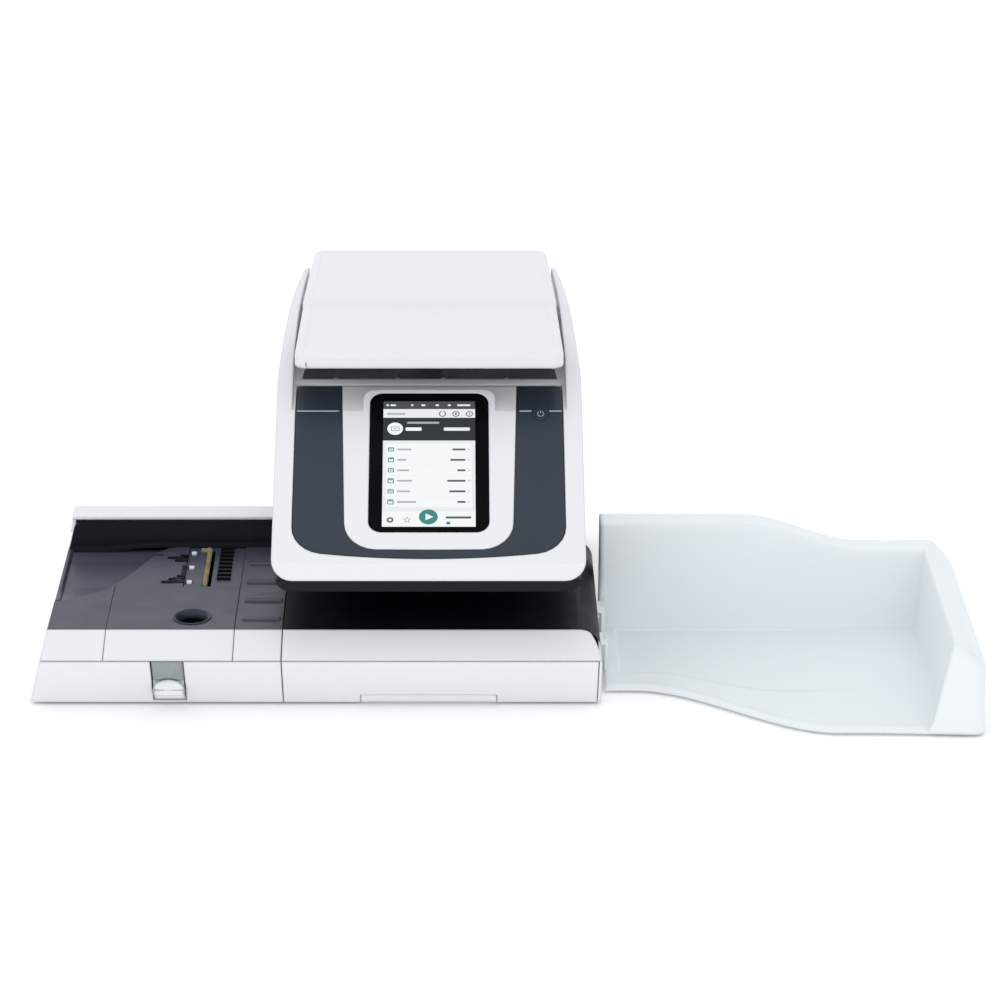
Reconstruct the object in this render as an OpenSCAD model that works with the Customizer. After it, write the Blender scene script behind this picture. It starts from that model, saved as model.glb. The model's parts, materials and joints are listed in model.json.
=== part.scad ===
// Franking machine: postage head on a transport base, sealing feeder on the left, catch tray on the right.
// Millimetres, +Z up, mail travels along +X, the operator stands on the -Y side.
// Layout values are measured from the head's middle (X), the head's lower front edge (Y) and the table (Z).

/* [Base] */
// Height of the mail deck above the table
deck_h = 76.7; // [70:0.1:90]
// Right end of the base
base_right = 168; // [160:1:175]
// How far the front nose stands out before the deck
nose_out = 42; // [35:1:50]
// Radius of the base's rounded right shoulder
shoulder_r = 22; // [10:1:26]

/* [Head] */
// Overall width of the head
head_w = 305; // [300:1:310]
// Height of the head's lower front edge
head_z = 127.8; // [126:0.1:132]
// Slope of the main operator face
face_angle = 31.5; // [30:0.1:33]
// Length of the main face along its slope
face_len = 186.2; // [182:0.1:190]
// Opening angle drawn for the front cover joint
cover_open = 40; // [20:1:42]

/* [Screen] */
// Width of the glass over the touch screen
glass_w = 118; // [110:1:120]
// Height of the glass over the touch screen
glass_h = 173; // [165:1:174]
// Corner radius of the glass
glass_r = 13; // [6:1:16]

/* [Weighing platform] */
// Width of the platform at its front lip
plat_w = 268; // [255:1:270]
// Rear edge of the platform, which is also the machine's rear
plat_back = 430; // [420:1:432]
// Thickness of the platform's moulded wall
plat_wall = 3; // [2:0.5:4]

/* [Feeder] */
// Left end of the feeder at table level
feeder_left = -389; // [-395:1:-385]
// Left seam of the sealer cover
seam_left = -314.5; // [-318:0.5:-312]
// Right seam of the sealer cover
seam_right = -188.6; // [-190:0.2:-187]
// Radius of the finger hole in the sealer cover
finger_r = 17; // [14:0.5:18]

/* [Catch tray] */
// Right end of the catch tray
tray_right = 535; // [500:1:540]
// Wall height at the tray's base end
tray_high = 118; // [110:1:122]
// Wall height at the tray's outer end
tray_low = 90; // [85:1:95]

/* [Hidden] */
$fn = 48;
wall = 3;
gap = 0.8;                      // parting gap between neighbouring covers
base_left = -141.6;
feeder_right = -142.6;
deck_back = 233.6;              // registration wall of the mail path
case_back = 426;
floor_z = 14;                   // underside of the raised floor pans
skirt_z = 3;                    // lower edge of every cover
deck_t = 3;
band_drop = 15.3;
nose_z = deck_h - band_drop;
under_z = 115.5;                // underside of the head
hw = head_w / 2;
hw_back = 133;
crease_y = 4.8;
crease_z = head_z + 17.9;
top_y = crease_y + face_len * cos(face_angle);
top_z = crease_z + face_len * sin(face_angle);
brow_angle = 12;
brow_y = 222;
brow_z = top_z + (brow_y - top_y) * tan(brow_angle);
pivot_y = 212;                  // axis of the front cover
pivot_z = 249;
cover_hw = 133;
panel_hw = 88.5;
recess_hw = 137;                // recess under the platform: half width at its front
recess_back = 125;              // and at its rear
glass_mid = 122.4;              // middle of the glass, along the face from its lower crease
button_x = 111;
button_s = face_len - 3.9;
button_r = 7.7;
belt_z = 92;                    // underside of the transport belts
pulley_r = 12;
belt_t = 1.5;
pulley_z = belt_z + belt_t + pulley_r;
drive_x = 100;
idle_x = -100;
housing_right = 150;           // right side of the column behind the deck
roller_r = 15;
roller_z = belt_z - 0.6 - roller_r;
roller_xs = [-60, 0, 60];
belt_ys = [112, 142];
belt_w = 14;
cart_x = 20;
drawer_w = 132;
tank_x = -252.6;
tank_w = 30;
hinge_y = 192;                  // axis of the sealer cover
hinge_z = deck_h - 2.5;
tray_left = 173;
hook_ys = [60, 140];
tray_back = 210;
tray_wall_y = 173;
origin = [(feeder_left + tray_right) / 2, (plat_back - 84) / 2, 0];

// ---- helpers ----
module place() translate([-origin[0], -origin[1], 0]) children();
// outline drawn in (Y, Z), run along X from x0 to x1
module yz(x0, x1) translate([x0, 0, 0]) rotate([90, 0, 90]) linear_extrude(x1 - x0) children();
// outline drawn in (X, Z), run along Y from y0 to y1
module xz(y0, y1) translate([0, y1, 0]) rotate([90, 0, 0]) linear_extrude(y1 - y0) children();
module box(lo, hi) translate(lo) cube(hi - lo);
module rod_x(x0, x1, y, z, r) translate([x0, y, z]) rotate([0, 90, 0]) cylinder(h = x1 - x0, r = r);
module rod_y(x, y0, y1, z, r) translate([x, y0, z]) rotate([-90, 0, 0]) cylinder(h = y1 - y0, r = r);
module rod_z(x, y, z0, z1, r) translate([x, y, z0]) cylinder(h = z1 - z0, r = r);
// frame lying on the main face: X stays, second axis runs up the slope, third stands out of the face
module on_face() translate([0, crease_y, crease_z]) rotate([face_angle, 0, 0]) children();
module rounded(w, h, r) {
    square([w - 2 * r, h], center = true);
    square([w, h - 2 * r], center = true);
    for (sx = [-1, 1], sy = [-1, 1]) translate([sx * (w / 2 - r), sy * (h / 2 - r)]) circle(r);
}
function arc(cx, cy, r, a0, a1, n = 6) =
    [for (i = [0:n]) let (a = a0 + (a1 - a0) * i / n) [cx + r * cos(a), cy + r * sin(a)]];
// smooth step from 0 at a to 1 at b
function ease(x, a, b) = let (t = max(0, min(1, (x - a) / (b - a)))) t * t * (3 - 2 * t);
function unit(v) = v / norm(v);
// a counter-clockwise outline moved inwards by t
function inset(p, t) = let (n = len(p))
    [for (i = [0:n - 1])
        let (a = unit(p[i] - p[(i + n - 1) % n]), b = unit(p[(i + 1) % n] - p[i]),
             na = [-a[1], a[0]], nb = [-b[1], b[0]], m = unit(na + nb))
        p[i] + m * t / max(0.3, m * na)];

// ---- shared outlines ----
base_outline = concat([[base_left, skirt_z], [base_right, skirt_z]],
    arc(base_right - shoulder_r, deck_h - shoulder_r, shoulder_r, 0, 90, 8), [[base_left, deck_h]]);
feeder_slant = 18;
feeder_outline = [[feeder_left, skirt_z], [feeder_right, skirt_z], [feeder_right, deck_h],
                  [feeder_left + feeder_slant, deck_h]];
function band_profile(t) = [[0, deck_h], [-nose_out + 3, nose_z + 1.4], [-nose_out, nose_z + 0.6],
    [-nose_out + 0.6, nose_z], [-nose_out + t + 1, nose_z], [0, deck_h - t * 1.08]];
function lower_profile(t) = [[-nose_out + 0.6, nose_z - gap], [-8.3, skirt_z], [-8.3 + t * 1.2, skirt_z],
    [-nose_out + 0.6 + t * 1.2, nose_z - gap]];
head_profile = [[0, head_z], [case_back, head_z], [case_back, 296], [case_back - 3, 306], [case_back - 10, 312],
    [case_back - 22, 315], [360, 315.5], [330, 314], [300, 310], [276, 304], [252, 294.5], [230, 283], [208, 270],
    [186, 256.3], [top_y, top_z], [crease_y, crease_z]];
head_plan = concat([[-hw, 0], [hw, 0], [hw, 200]], arc(hw_back - 36, case_back - 36, 36, 12, 90),
    arc(-hw_back + 36, case_back - 36, 36, 90, 168), [[-hw, 200]]);
head_front = concat(arc(-hw + 20, head_z + 20, 20, 180, 270), arc(hw - 20, head_z + 20, 20, 270, 360),
    arc(hw - 14, 316 - 14, 14, 0, 90), arc(-hw + 14, 316 - 14, 14, 90, 180));
module head_body(t) {
    intersection() {
        yz(-hw, hw) polygon(inset(head_profile, t));
        linear_extrude(400) polygon(inset(head_plan, t));
        xz(-10, 500) polygon(inset(head_front, t));
    }
}
// folded sheet of the front cover: main face up to the brow, t thick, drawn in (Y, Z)
cover_front_y = 8.5;
cover_back_y = 209.8;
function face_z(y) = y < top_y ? crease_z + (y - crease_y) * tan(face_angle)
                               : top_z + (y - top_y) * tan(brow_angle);
function cover_sheet(t) = [[cover_front_y, face_z(cover_front_y)],
    [cover_front_y + t * sin(face_angle), face_z(cover_front_y) - t * cos(face_angle)],
    [top_y + t * 0.37, top_z - t * 0.94], [cover_back_y, face_z(cover_back_y) - t], [cover_back_y, face_z(cover_back_y)],
    [top_y, top_z]];
// outline of the dark band and of the white panel, seen square to the main face
cover_low = (cover_front_y - crease_y) / cos(face_angle);
cover_top = 231;                // rear edge of the cover, seen square to the main face
function cover_outline(g, rear = 0) = concat(arc(cover_hw - 8, cover_top - 8 + rear, 8 + g, 0, 90),
    arc(-cover_hw + 8, cover_top - 8 + rear, 8 + g, 90, 180),
    arc(-cover_hw + 32, cover_low + 32 + 6, 32 + g, 180, 262),
    [for (i = [-7:7]) [i * 13, cover_low - g + 0.000567 * i * i * 169]],
    arc(cover_hw - 32, cover_low + 32 + 6, 32 + g, 278, 360));
function panel_outline(g) = concat([[panel_hw + g, 260], [-panel_hw - g, 260]],
    arc(-panel_hw + 38, cover_low + 11 + 32, 32 + g, 180, 267), [[0, cover_low + 10.6 - g]],
    arc(panel_hw - 38, cover_low + 11 + 32, 32 + g, 273, 360));
// edge of the raised feeder plateau, from its left front to its right rear
scoop_n = 14;
scoop_edge = [for (i = [0:scoop_n]) let (t = i / scoop_n)
    [-372 + 112 * t, 70 + 34 * ease(t, 0, 0.55) * 0.9 + 110 * ease(t, 0.38, 0.98)]];

// ---- base ----
module base_tub() place() color("dimgray") {
    tub_right = base_right - wall - 0.2;
    tub_back = case_back - wall - 0.3;
    difference() {
        box([base_left, -2, skirt_z], [tub_right, tub_back, 70]);
        for (z = [[floor_z + wall, 71, 1], [skirt_z - 1, floor_z, -3]]) {
            box([base_left + wall, z[2], z[0]], [tub_right - wall, deck_back - wall, z[1]]);
            box([base_left + wall, deck_back - wall - 1, z[0]], [housing_right - wall, tub_back - wall, z[1]]);
        }
        box([housing_right, deck_back, 0], [base_right + 1, case_back, 80]);
        box([housing_right, -5, deck_h - 27], [base_right + 1, deck_back + 1, 80]);
        box([-52, tub_back - 5, 30], [52, case_back, 54]);
        box([97, tub_back - 5, 24.5], [129, case_back, 50.5]);
    }
    for (x = [-94, -8], y = [256, 394]) rod_z(x, y, floor_z + wall, 24, 3);
}
module lower_panel() place() color("whitesmoke") {
    difference() {
        yz(base_left, base_right - wall - gap) polygon(lower_profile(wall));
        box([-drawer_w / 2 - 0.6, -60, 0], [drawer_w / 2 + 0.6, 10, 13.6]);
    }
}
module front_band() place() color("white") {
    intersection() {
        yz(base_left, base_right) polygon(band_profile(wall));
        xz(-60, 10) polygon(base_outline);
    }
    intersection() {
        yz(base_right - wall, base_right) polygon([[-nose_out + 0.6, nose_z], [-8.3, skirt_z], [0, skirt_z],
            [0, deck_h - 4], [-nose_out + 4, nose_z]]);
        xz(-60, 10) polygon(base_outline);
    }
}
module deck_plate() place() color("slategray") {
    difference() {
        intersection() {
            xz(0, deck_back) polygon(base_outline);
            box([base_left, 0, deck_h - 26], [base_right, deck_back, deck_h]);
        }
        intersection() {
            xz(-1, deck_back + 1) polygon(inset(base_outline, deck_t));
            box([base_left - 1, -1, deck_h - 30], [base_right, deck_back + 1, deck_h - deck_t]);
        }
        box([base_left - 1, -1, deck_h - 30], [base_left + 8, deck_back + 1, deck_h - deck_t]);
        for (x = roller_xs) box([x - 18, 102, deck_h - 6], [x + 18, 166, deck_h + 1]);
    }
}
module side_cover() place() color("whitesmoke") {
    difference() {
        box([base_right - wall, 0.2, skirt_z], [base_right, deck_back, deck_h - 26.2]);
        for (y = hook_ys) box([base_right - 4, y - 1, 32.5], [base_right + 1, y + 17, 41.5]);
    }
}
module rear_housing() place() color("whitesmoke") {
    difference() {
        box([base_left, deck_back + 0.2, 70.2], [housing_right, case_back - 0.2, head_z]);
        box([base_left + wall, deck_back + wall + 0.2, 60], [housing_right - wall, case_back - wall - 0.2, 200]);
        box([base_left - 1, deck_back, under_z - 0.1], [housing_right + 1, deck_back + wall + 1, head_z + 1]);
        rod_y(drive_x, deck_back - 1, deck_back + 5, pulley_z, 6);
    }
}
module rear_cover() place() color("whitesmoke") {
    difference() {
        box([base_left, case_back - wall - 0.2, skirt_z], [housing_right, case_back, 70]);
        box([-52, case_back - 9, 30], [52, case_back + 1, 54]);
        box([97, case_back - 9, 24.5], [129, case_back + 1, 50.5]);
        for (i = [0:7]) box([-130 + i * 7, case_back - 9, 28], [-127 + i * 7, case_back + 1, 60]);
    }
}
frame_xs = [-120, 118];
module side_frames() place() color("silver") {
    for (x = frame_xs) difference() {
        yz(x, x + 2) polygon([[20, 17], [400, 17], [400, 54], [412, 54], [412, 238], [232, 238], [190, 205], [40, 126], [40, 118.4],
            [240, 118.4], [240, 67], [20, 67]]);
        rod_x(x - 1, x + 3, 60, 40, 4);
        rod_x(x - 1, x + 3, 300, 40, 4);
        rod_x(x - 1, x + 3, 300, 180, 4);
        rod_x(x - 1, x + 3, 380, 220, 4);
        rod_x(x - 1, x + 3, 90, 134, 4);
    }
}
cross_at = [[60, 40], [300, 40], [300, 180], [380, 220], [90, 134]];
module cross_bars() place() color("gainsboro") {
    for (c = cross_at) rod_x(frame_xs[0] - 4, frame_xs[1] + 6, c[0], c[1], 4);
}
module frame_screws() place() color("darkgray") {
    for (c = cross_at, s = [0, 1]) {
        x = s == 0 ? frame_xs[0] - 8 : frame_xs[1] + 6;
        rod_x(x, x + 4, c[0], c[1], 6);
    }
}
module base_feet() place() color("black") {
    for (x = [-115, 134], y = [28, 390]) rod_z(x, y, 0, floor_z, 10);
}
module main_board() place() color("seagreen") {
    box([-100, 250, 24], [0, 290, 25.6]);
    box([-100, 310, 24], [0, 400, 25.6]);
    box([-100, 290, 24], [0, 310, 25.6]);
    for (x = [-80, -40]) box([x, 330, 25.6], [x + 24, 354, 28]);
    box([-30, 320, 25.6], [-10, 380, 31]);
}
module power_supply() place() color("silver") {
    box([18, 312, floor_z + wall], [92, 410, 58]);
}
module connector_block() place() color("dimgray") {
    difference() {
        box([-51.5, 411, 30.5], [51.5, case_back - 0.6, 53.5]);
        for (x = [-44, -26]) box([x, 415, 36], [x + 13, case_back, 42]);
        box([-6, 413, 33], [10, case_back, 47]);
        box([18, 413, 33], [34, case_back, 47]);
    }
}
module power_inlet() place() color("black") {
    difference() {
        box([97.5, 404, 25], [128.5, case_back, 50]);
        box([101, 409, 28.5], [125, case_back + 1, 46.5]);
    }
    for (x = [106, 113, 120]) box([x - 0.8, 409, x == 113 ? 38 : 33], [x + 0.8, 420, x == 113 ? 42 : 37]);
}
module card_drawer() place() color("white") {
    difference() {
        box([-drawer_w / 2, -12.6, 4.4], [drawer_w / 2, 118, 13]);
        box([-drawer_w / 2 + 2, -9.4, 6], [drawer_w / 2 - 2, 116, 14]);
        yz(-drawer_w, drawer_w) polygon([[-20, 0], [-9, 0], [-14.1, 13.2], [-20, 13.2]]);
    }
}

// ---- transport ----
motor_x = 60;
motor_z = 150;
motor_y = 254;
module drive_motor() place() color("gray") {
    difference() {
        rod_y(motor_x, motor_y, motor_y + 42, motor_z, 18);
        rod_y(motor_x, motor_y - 1, motor_y + 10, motor_z, 3.05);
    }
    difference() {
        box([motor_x - 22, motor_y - 3, motor_z - 22], [frame_xs[1], motor_y, motor_z + 22]);
        rod_y(motor_x, motor_y - 4, motor_y + 1, motor_z, 5);
    }
}
module motor_pulley() place() color("lightgray") {
    rod_y(motor_x, 242, 247.5, motor_z, 9);
    rod_y(motor_x, 247, motor_y + 9, motor_z, 3);
}
shaft_y0 = 98;
module shaft(x, y1) {
    rod_y(x, shaft_y0, y1, pulley_z, 4);
    for (y = belt_ys) rod_y(x, y, y + belt_w, pulley_z, pulley_r);
}
module drive_shaft() place() color("darkslategray") {
    shaft(drive_x, 247.5);
    rod_y(drive_x, 242, 247.5, pulley_z, pulley_r);
}
module idler_shaft() place() color("darkslategray") shaft(idle_x, 163);
// hanging bearing of a transport shaft: y is its front face, xw the frame wall that it is fixed to
module bearing(x, y, xw) {
    difference() {
        union() {
            box([x - 8, y, pulley_z - 8], [x + 8, y + 4, 118.4]);
            box([min(x - 8, xw), y, 118.4], [max(x + 8, xw), y + 4, 126]);
        }
        rod_y(x, y - 1, y + 5, pulley_z, 4.05);
    }
}
module bearing_blocks() place() color("gainsboro") {
    bearing(drive_x, shaft_y0 + 1, frame_xs[1]);
    bearing(drive_x, 237.4, frame_xs[1]);
    for (y = [shaft_y0 + 1, 158]) bearing(idle_x, y, frame_xs[0] + 2);
}
// belt loop around two round ends, drawn in (X, Z)
module loop(a, ra, b, rb, t) {
    difference() {
        hull_pair(a, ra + t, b, rb + t);
        hull_pair(a, ra, b, rb);
    }
}
// outer outline of two circles and their straight tangents
module hull_pair(a, ra, b, rb) {
    d = norm(b - a);
    th = atan2(b[1] - a[1], b[0] - a[0]);
    k = acos((ra - rb) / d);
    translate(a) circle(ra);
    translate(b) circle(rb);
    polygon([a + ra * [cos(th + k), sin(th + k)], a + ra * [cos(th - k), sin(th - k)],
             b + rb * [cos(th - k), sin(th - k)], b + rb * [cos(th + k), sin(th + k)]]);
}
module transport_belts() place() color("black") {
    for (y = belt_ys) xz(y + 0.5, y + belt_w - 0.5)
        loop([idle_x, pulley_z], pulley_r + 0.1, [drive_x, pulley_z], pulley_r + 0.1, belt_t);
}
module timing_belt() place() color("black") {
    xz(242.5, 247) loop([motor_x, motor_z], 9.1, [drive_x, pulley_z], pulley_r + 0.1, 1.5);
}
car_y0 = 106;
car_y1 = 162;
module roller_carriage() place() color("lightgray") {
    difference() {
        box([-92, car_y0, 46], [92, car_y1, 64]);
        for (x = roller_xs) box([x - 17, car_y0 + 3, 45], [x + 17, car_y1 - 3, 65]);
        for (x = [-30, 30, -82, 82]) box([x - 8, car_y0 + 5, 45], [x + 8, car_y1 - 5, 65]);
    }
    for (x = roller_xs, y = [car_y0, car_y1 - 3]) difference() {
        union() {
            box([x - 5, y, 60], [x + 5, y + 3, roller_z]);
            rod_y(x, y, y + 3, roller_z, 5);
        }
        rod_y(x, y - 1, y + 4, roller_z, 2.05);
    }
    box([-110, 130, 50], [-92, 138, 54]);
}
module pressure_roller(x) place() color("dimgray") {
    rod_y(x, car_y0 - 1.5, car_y1 + 1.5, roller_z, 2);
    rod_y(x, car_y0 + 5, car_y1 - 5, roller_z, roller_r);
}
module pressure_roller_1() pressure_roller(roller_xs[0]);
module pressure_roller_2() pressure_roller(roller_xs[1]);
module pressure_roller_3() pressure_roller(roller_xs[2]);
lever_y = 150;
lever_z = 134;
module release_lever() place() color("royalblue") {
    difference() {
        union() {
            rod_x(-117, -111, lever_y, lever_z, 7);
            yz(-116, -112) polygon([[lever_y - 4, lever_z + 3], [lever_y - 22, lever_z + 30],
                [lever_y - 16, lever_z + 34], [lever_y + 6, lever_z + 3]]);
            box([-120 + 4, lever_y - 26, lever_z + 28], [-100, lever_y - 14, lever_z + 38]);
        }
        rod_x(-121, -100, lever_y, lever_z, 3.05);
    }
}

// ---- print unit ----
rail_ys = [163.5, 218.5];
rail_z = 152;
print_travel = 60;
module guide_rods() place() color("silver") {
    for (y = rail_ys) rod_x(frame_xs[0] + 2, frame_xs[1], y, rail_z, 3);
    rod_x(frame_xs[0] + 2, -109, lever_y, lever_z, 3);
}
module print_carriage() place() color("darkgray") {
    difference() {
        box([cart_x - 20, 158, 120], [cart_x + 20, 224, 160]);
        box([cart_x - 14.5, 169.5, 100], [cart_x + 14.5, 214.5, 170]);
        for (y = rail_ys) rod_x(cart_x - 30, cart_x + 30, y, rail_z, 3.05);
    }
}
module ink_cartridge() place() color("midnightblue") {
    difference() {
        union() {
            box([cart_x - 14, 170, 120], [cart_x + 14, 214, 176]);
            box([cart_x - 9, 184, 96], [cart_x + 9, 212, 120]);
            box([cart_x - 10, 160, 170], [cart_x + 10, 170, 174]);
        }
        box([cart_x - 10, 176, 174], [cart_x + 10, 208, 177]);
    }
}

// ---- head ----
module underside_housing() place() color("darkslategray") {
    difference() {
        intersection() {
            box([-hw + 3, 3, under_z], [hw - 3, 236, head_z]);
            xz(-10, 500) polygon(concat(arc(-hw + 18, under_z + 14, 14, 180, 270),
                arc(hw - 18, under_z + 14, 14, 270, 360), [[hw - 4, 200], [-hw + 4, 200]]));
        }
        box([-hw + 8, 6, under_z + 2.5], [hw - 8, 240, 200]);
        box([idle_x - 16, shaft_y0 - 2, 100], [drive_x + 16, 166, under_z + 5]);
        box([cart_x - print_travel - 12, 180, 100], [cart_x + 12, 216, under_z + 5]);
    }
}
function recess_plan(g) = [[-recess_hw - g, brow_y - 2 - g], [recess_hw + g, brow_y - 2 - g],
    [recess_back + g, case_back + 20], [-recess_back - g, case_back + 20]];
// space over the recess floor, whose underside is lowered by t and whose sides grow by t
module platform_recess(t) {
    intersection() {
        yz(-hw, hw) polygon([[brow_y - 2 - t, brow_z - 0.4 - t], [case_back + 10, brow_z + 12 - t], [case_back + 10, 330],
            [brow_y - 2 - t, 330]]);
        linear_extrude(400) polygon(recess_plan(t));
    }
    yz(-recess_hw - t, recess_hw + t) polygon([[top_y - 30, top_z - 30 * tan(face_angle) - t * 1.17],
        [top_y, top_z - t * 1.1], [brow_y - 1, face_z(brow_y - 1) - t * 1.02], [brow_y - 1, 330], [top_y - 30, 330]]);
}
boss_x = 138.5;
module head_shell() place() color("white") {
    difference() {
        union() {
            difference() {
                head_body(0);
                difference() {
                    head_body(wall);
                    platform_recess(wall);
                }
                box([-hw + 3, 3, head_z - 5], [hw - 3, case_back - 3, head_z + wall + 0.1]);
                intersection() {
                    on_face() translate([0, 0, -30]) linear_extrude(60) polygon(cover_outline(gap, 6.6));
                    box([-200, -50, 0], [200, cover_back_y + 3.8, 400]);
                }
            }
            for (s = [-1, 1]) intersection() {
                head_body(0);
                union() {
                    rod_x(s * boss_x - 4, s * boss_x + 4, pivot_y, pivot_z, 4.5);
                    yz(s * boss_x - 4, s * boss_x + 4) polygon([[pivot_y - 4.5, pivot_z], [pivot_y + 4.5, pivot_z],
                        [pivot_y + 4.5, 270], [pivot_y - 4.5, 270]]);
                }
            }
        }
        platform_recess(0);
        rod_x(-146, 146, pivot_y, pivot_z, 1.55);
        rod_z(0, 315, 240, 300, 13);
    }
}
module door_band() place() color("darkslategray") {
    difference() {
        union() {
            intersection() {
                yz(-cover_hw, cover_hw) polygon(cover_sheet(3.5));
                on_face() translate([0, 0, -40]) linear_extrude(80) polygon(cover_outline(0));
            }
            for (s = [-1, 1]) yz(s * 130 - 2.5, s * 130 + 2.5) polygon([[pivot_y - 4, pivot_z - 4],
                [pivot_y + 1.5, pivot_z - 4], [pivot_y + 4, pivot_z - 1.5], [pivot_y + 4, pivot_z + 0.4],
                [pivot_y + 1.4, pivot_z + 1.35], [pivot_y, pivot_z + 2.4], [pivot_y - 5, pivot_z + 2.6],
                [pivot_y - 9, face_z(pivot_y - 9) - 1], [pivot_y - 24, face_z(pivot_y - 24) - 2],
                [pivot_y - 24, face_z(pivot_y - 24) - 8]]);
        }
        on_face() translate([0, 0, -60]) linear_extrude(100) polygon(panel_outline(0.3));
        rod_x(-150, 150, pivot_y, pivot_z, 1.5);
        on_face() translate([button_x, button_s, -20]) cylinder(h = 40, r = button_r + 0.3);
    }
}
bezel_top = face_len + 28;
module door_panel() place() color("white") {
    difference() {
        union() {
            intersection() {
                yz(-cover_hw, cover_hw) polygon(cover_sheet(3.5));
                on_face() translate([0, 0, -40]) linear_extrude(80) polygon(panel_outline(0));
            }
            on_face() translate([0, (26 + bezel_top) / 2, -13]) linear_extrude(13) rounded(glass_w + 14, bezel_top - 26, 12);
        }
        on_face() translate([0, glass_mid, -2]) linear_extrude(10) rounded(glass_w + 0.6, glass_h + 0.6, glass_r + 0.3);
        on_face() box([-50, 40, -11], [50, 202, 1]);
    }
}
module screen_glass() place() color("black") {
    on_face() translate([0, glass_mid, -2]) linear_extrude(1.8) rounded(glass_w, glass_h, glass_r);
}
module display_module() place() color("gray") {
    on_face() box([-49, 41, -10.5], [49, 201, -2.1]);
}
module power_button() place() color("steelblue") {
    on_face() translate([button_x, button_s, -1.4]) cylinder(h = 2, r = button_r);
    on_face() translate([button_x, button_s, -7]) cylinder(h = 5.6, r = 3);
}
module hinge_pins() place() color("silver") {
    for (s = [-1, 1]) rod_x(min(s * 127, s * 142), max(s * 127, s * 142), pivot_y, pivot_z, 1.5);
}

// ---- weighing ----
module load_cell() place() color("silver") {
    difference() {
        box([-65, 300, 196], [65, 330, 218]);
        rod_y(-14, 290, 340, 207, 7);
        rod_y(14, 290, 340, 207, 7);
        box([-14, 290, 203], [14, 340, 211]);
    }
    box([frame_xs[0] + 2, 290, 190], [-30, 340, 196]);
}
bracket_z = 294;
pad_at = [[-82, 232], [82, 232], [-82, 380], [82, 380]];
module platform_bracket() place() color("silver") {
    box([65, 304, 200], [69, 326, 227]);
    box([-9, 306, 223], [69, 324, 227]);
    rod_z(0, 315, 223, bracket_z + 2, 9);
    translate([0, 0, bracket_z]) linear_extrude(4) polygon([[-91, 223], [91, 223], [91, 241], [11, 241],
        [11, 371], [91, 371], [91, 389], [-91, 389], [-91, 371], [-11, 371], [-11, 241], [-91, 241]]);
}
module platform_pads() place() color("black") {
    for (p = pad_at) rod_z(p[0], p[1], bracket_z + 4, bracket_z + 9, 7);
}
plat_front = 158;
plat_taper = 12;                // each side's taper from front to rear
plat_profile = [[plat_front + 3, 290], [plat_back, 306], [plat_back, 325], [plat_back - 5, 329.5],
    [272, 326.2], [266, 320.2], [plat_front + 8, 304.8], [plat_front + 1, 301], [plat_front, 294]];
plat_inside = [[plat_front + 6, 280], [plat_back - 3, 280], [plat_back - 3, 322.5], [274, 322.5],
    [266, 316], [plat_front + 9, 301], [plat_front + 5, 298]];
plat_plan = concat(arc(-plat_w / 2 + 12, plat_front + 12, 12, 180, 270, 5),
    arc(plat_w / 2 - 12, plat_front + 12, 12, 270, 360, 5),
    arc(plat_w / 2 - plat_taper - 16, plat_back - 16, 16, 3, 90, 5),
    arc(-plat_w / 2 + plat_taper + 16, plat_back - 16, 16, 90, 177, 5));
module weighing_platform() place() color("white") {
    difference() {
        intersection() {
            yz(-plat_w / 2, plat_w / 2) polygon(plat_profile);
            linear_extrude(400) polygon(plat_plan);
        }
        intersection() {
            yz(-plat_w / 2, plat_w / 2) polygon(plat_inside);
            translate([0, 0, 270]) linear_extrude(100) polygon(inset(plat_plan, plat_wall));
        }
    }
    for (p = pad_at) rod_z(p[0], p[1], bracket_z + 9, p[1] < 300 ? 311 : 323, 9);
}

// ---- feeder ----
module feeder_case() place() color("white") {
    difference() {
        xz(0.2, 254) polygon(feeder_outline);
        box([feeder_left, -1, deck_h - deck_t - 0.2], [feeder_right + 1, 216.3, deck_h + 1]);
        xz(-100, 251) polygon([[feeder_left + 2.4, 0], [feeder_right + 1, 0], [feeder_right + 1, 100],
            [feeder_left + 26.8, 100]]);
    }
    intersection() {
        difference() {
            yz(feeder_left, feeder_right) polygon(lower_profile(wall));
            box([tank_x - tank_w / 2 - 1.4, -60, 6], [tank_x + tank_w / 2 + 1.4, 20, 70]);
        }
        xz(-100, 10) polygon(feeder_outline);
    }
    intersection() {
        yz(feeder_left, feeder_right) polygon([[-nose_out + 0.6, nose_z - gap], [-8.3, skirt_z], [0.2, skirt_z], [0.2, 70]]);
        xz(-100, 10) polygon([[feeder_left, skirt_z], [feeder_left + 3, skirt_z], [feeder_left + feeder_slant + 3, deck_h],
            [feeder_left + feeder_slant, deck_h]]);
    }
    intersection() {
        difference() {
            box([feeder_left, 216.5, deck_h], [feeder_right, 254, 105]);
            box([feeder_left - 1, 210, 60], [feeder_right + 1, 251, 102]);
            yz(feeder_left - 1, feeder_right + 1) polygon([[200, 60], [217, 60], [225, 106], [200, 106]]);
        }
        xz(200, 300) polygon([[feeder_left, 0], [feeder_right, 0], [feeder_right, 200], [feeder_left + 22, 200],
            [feeder_left + 22, 106]]);
    }
    box([feeder_left + 22, 226, deck_h - 1], [feeder_left + 25, 251, 102]);
}
module feeder_band() place() color("white") {
    intersection() {
        difference() {
            yz(feeder_left, feeder_right) polygon(band_profile(wall));
            box([seam_left, -60, 0], [seam_right, 30, 100]);
        }
        xz(-100, 10) polygon(feeder_outline);
    }
}
cover_rear = 107.2;
unit_left = -246;
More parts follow.
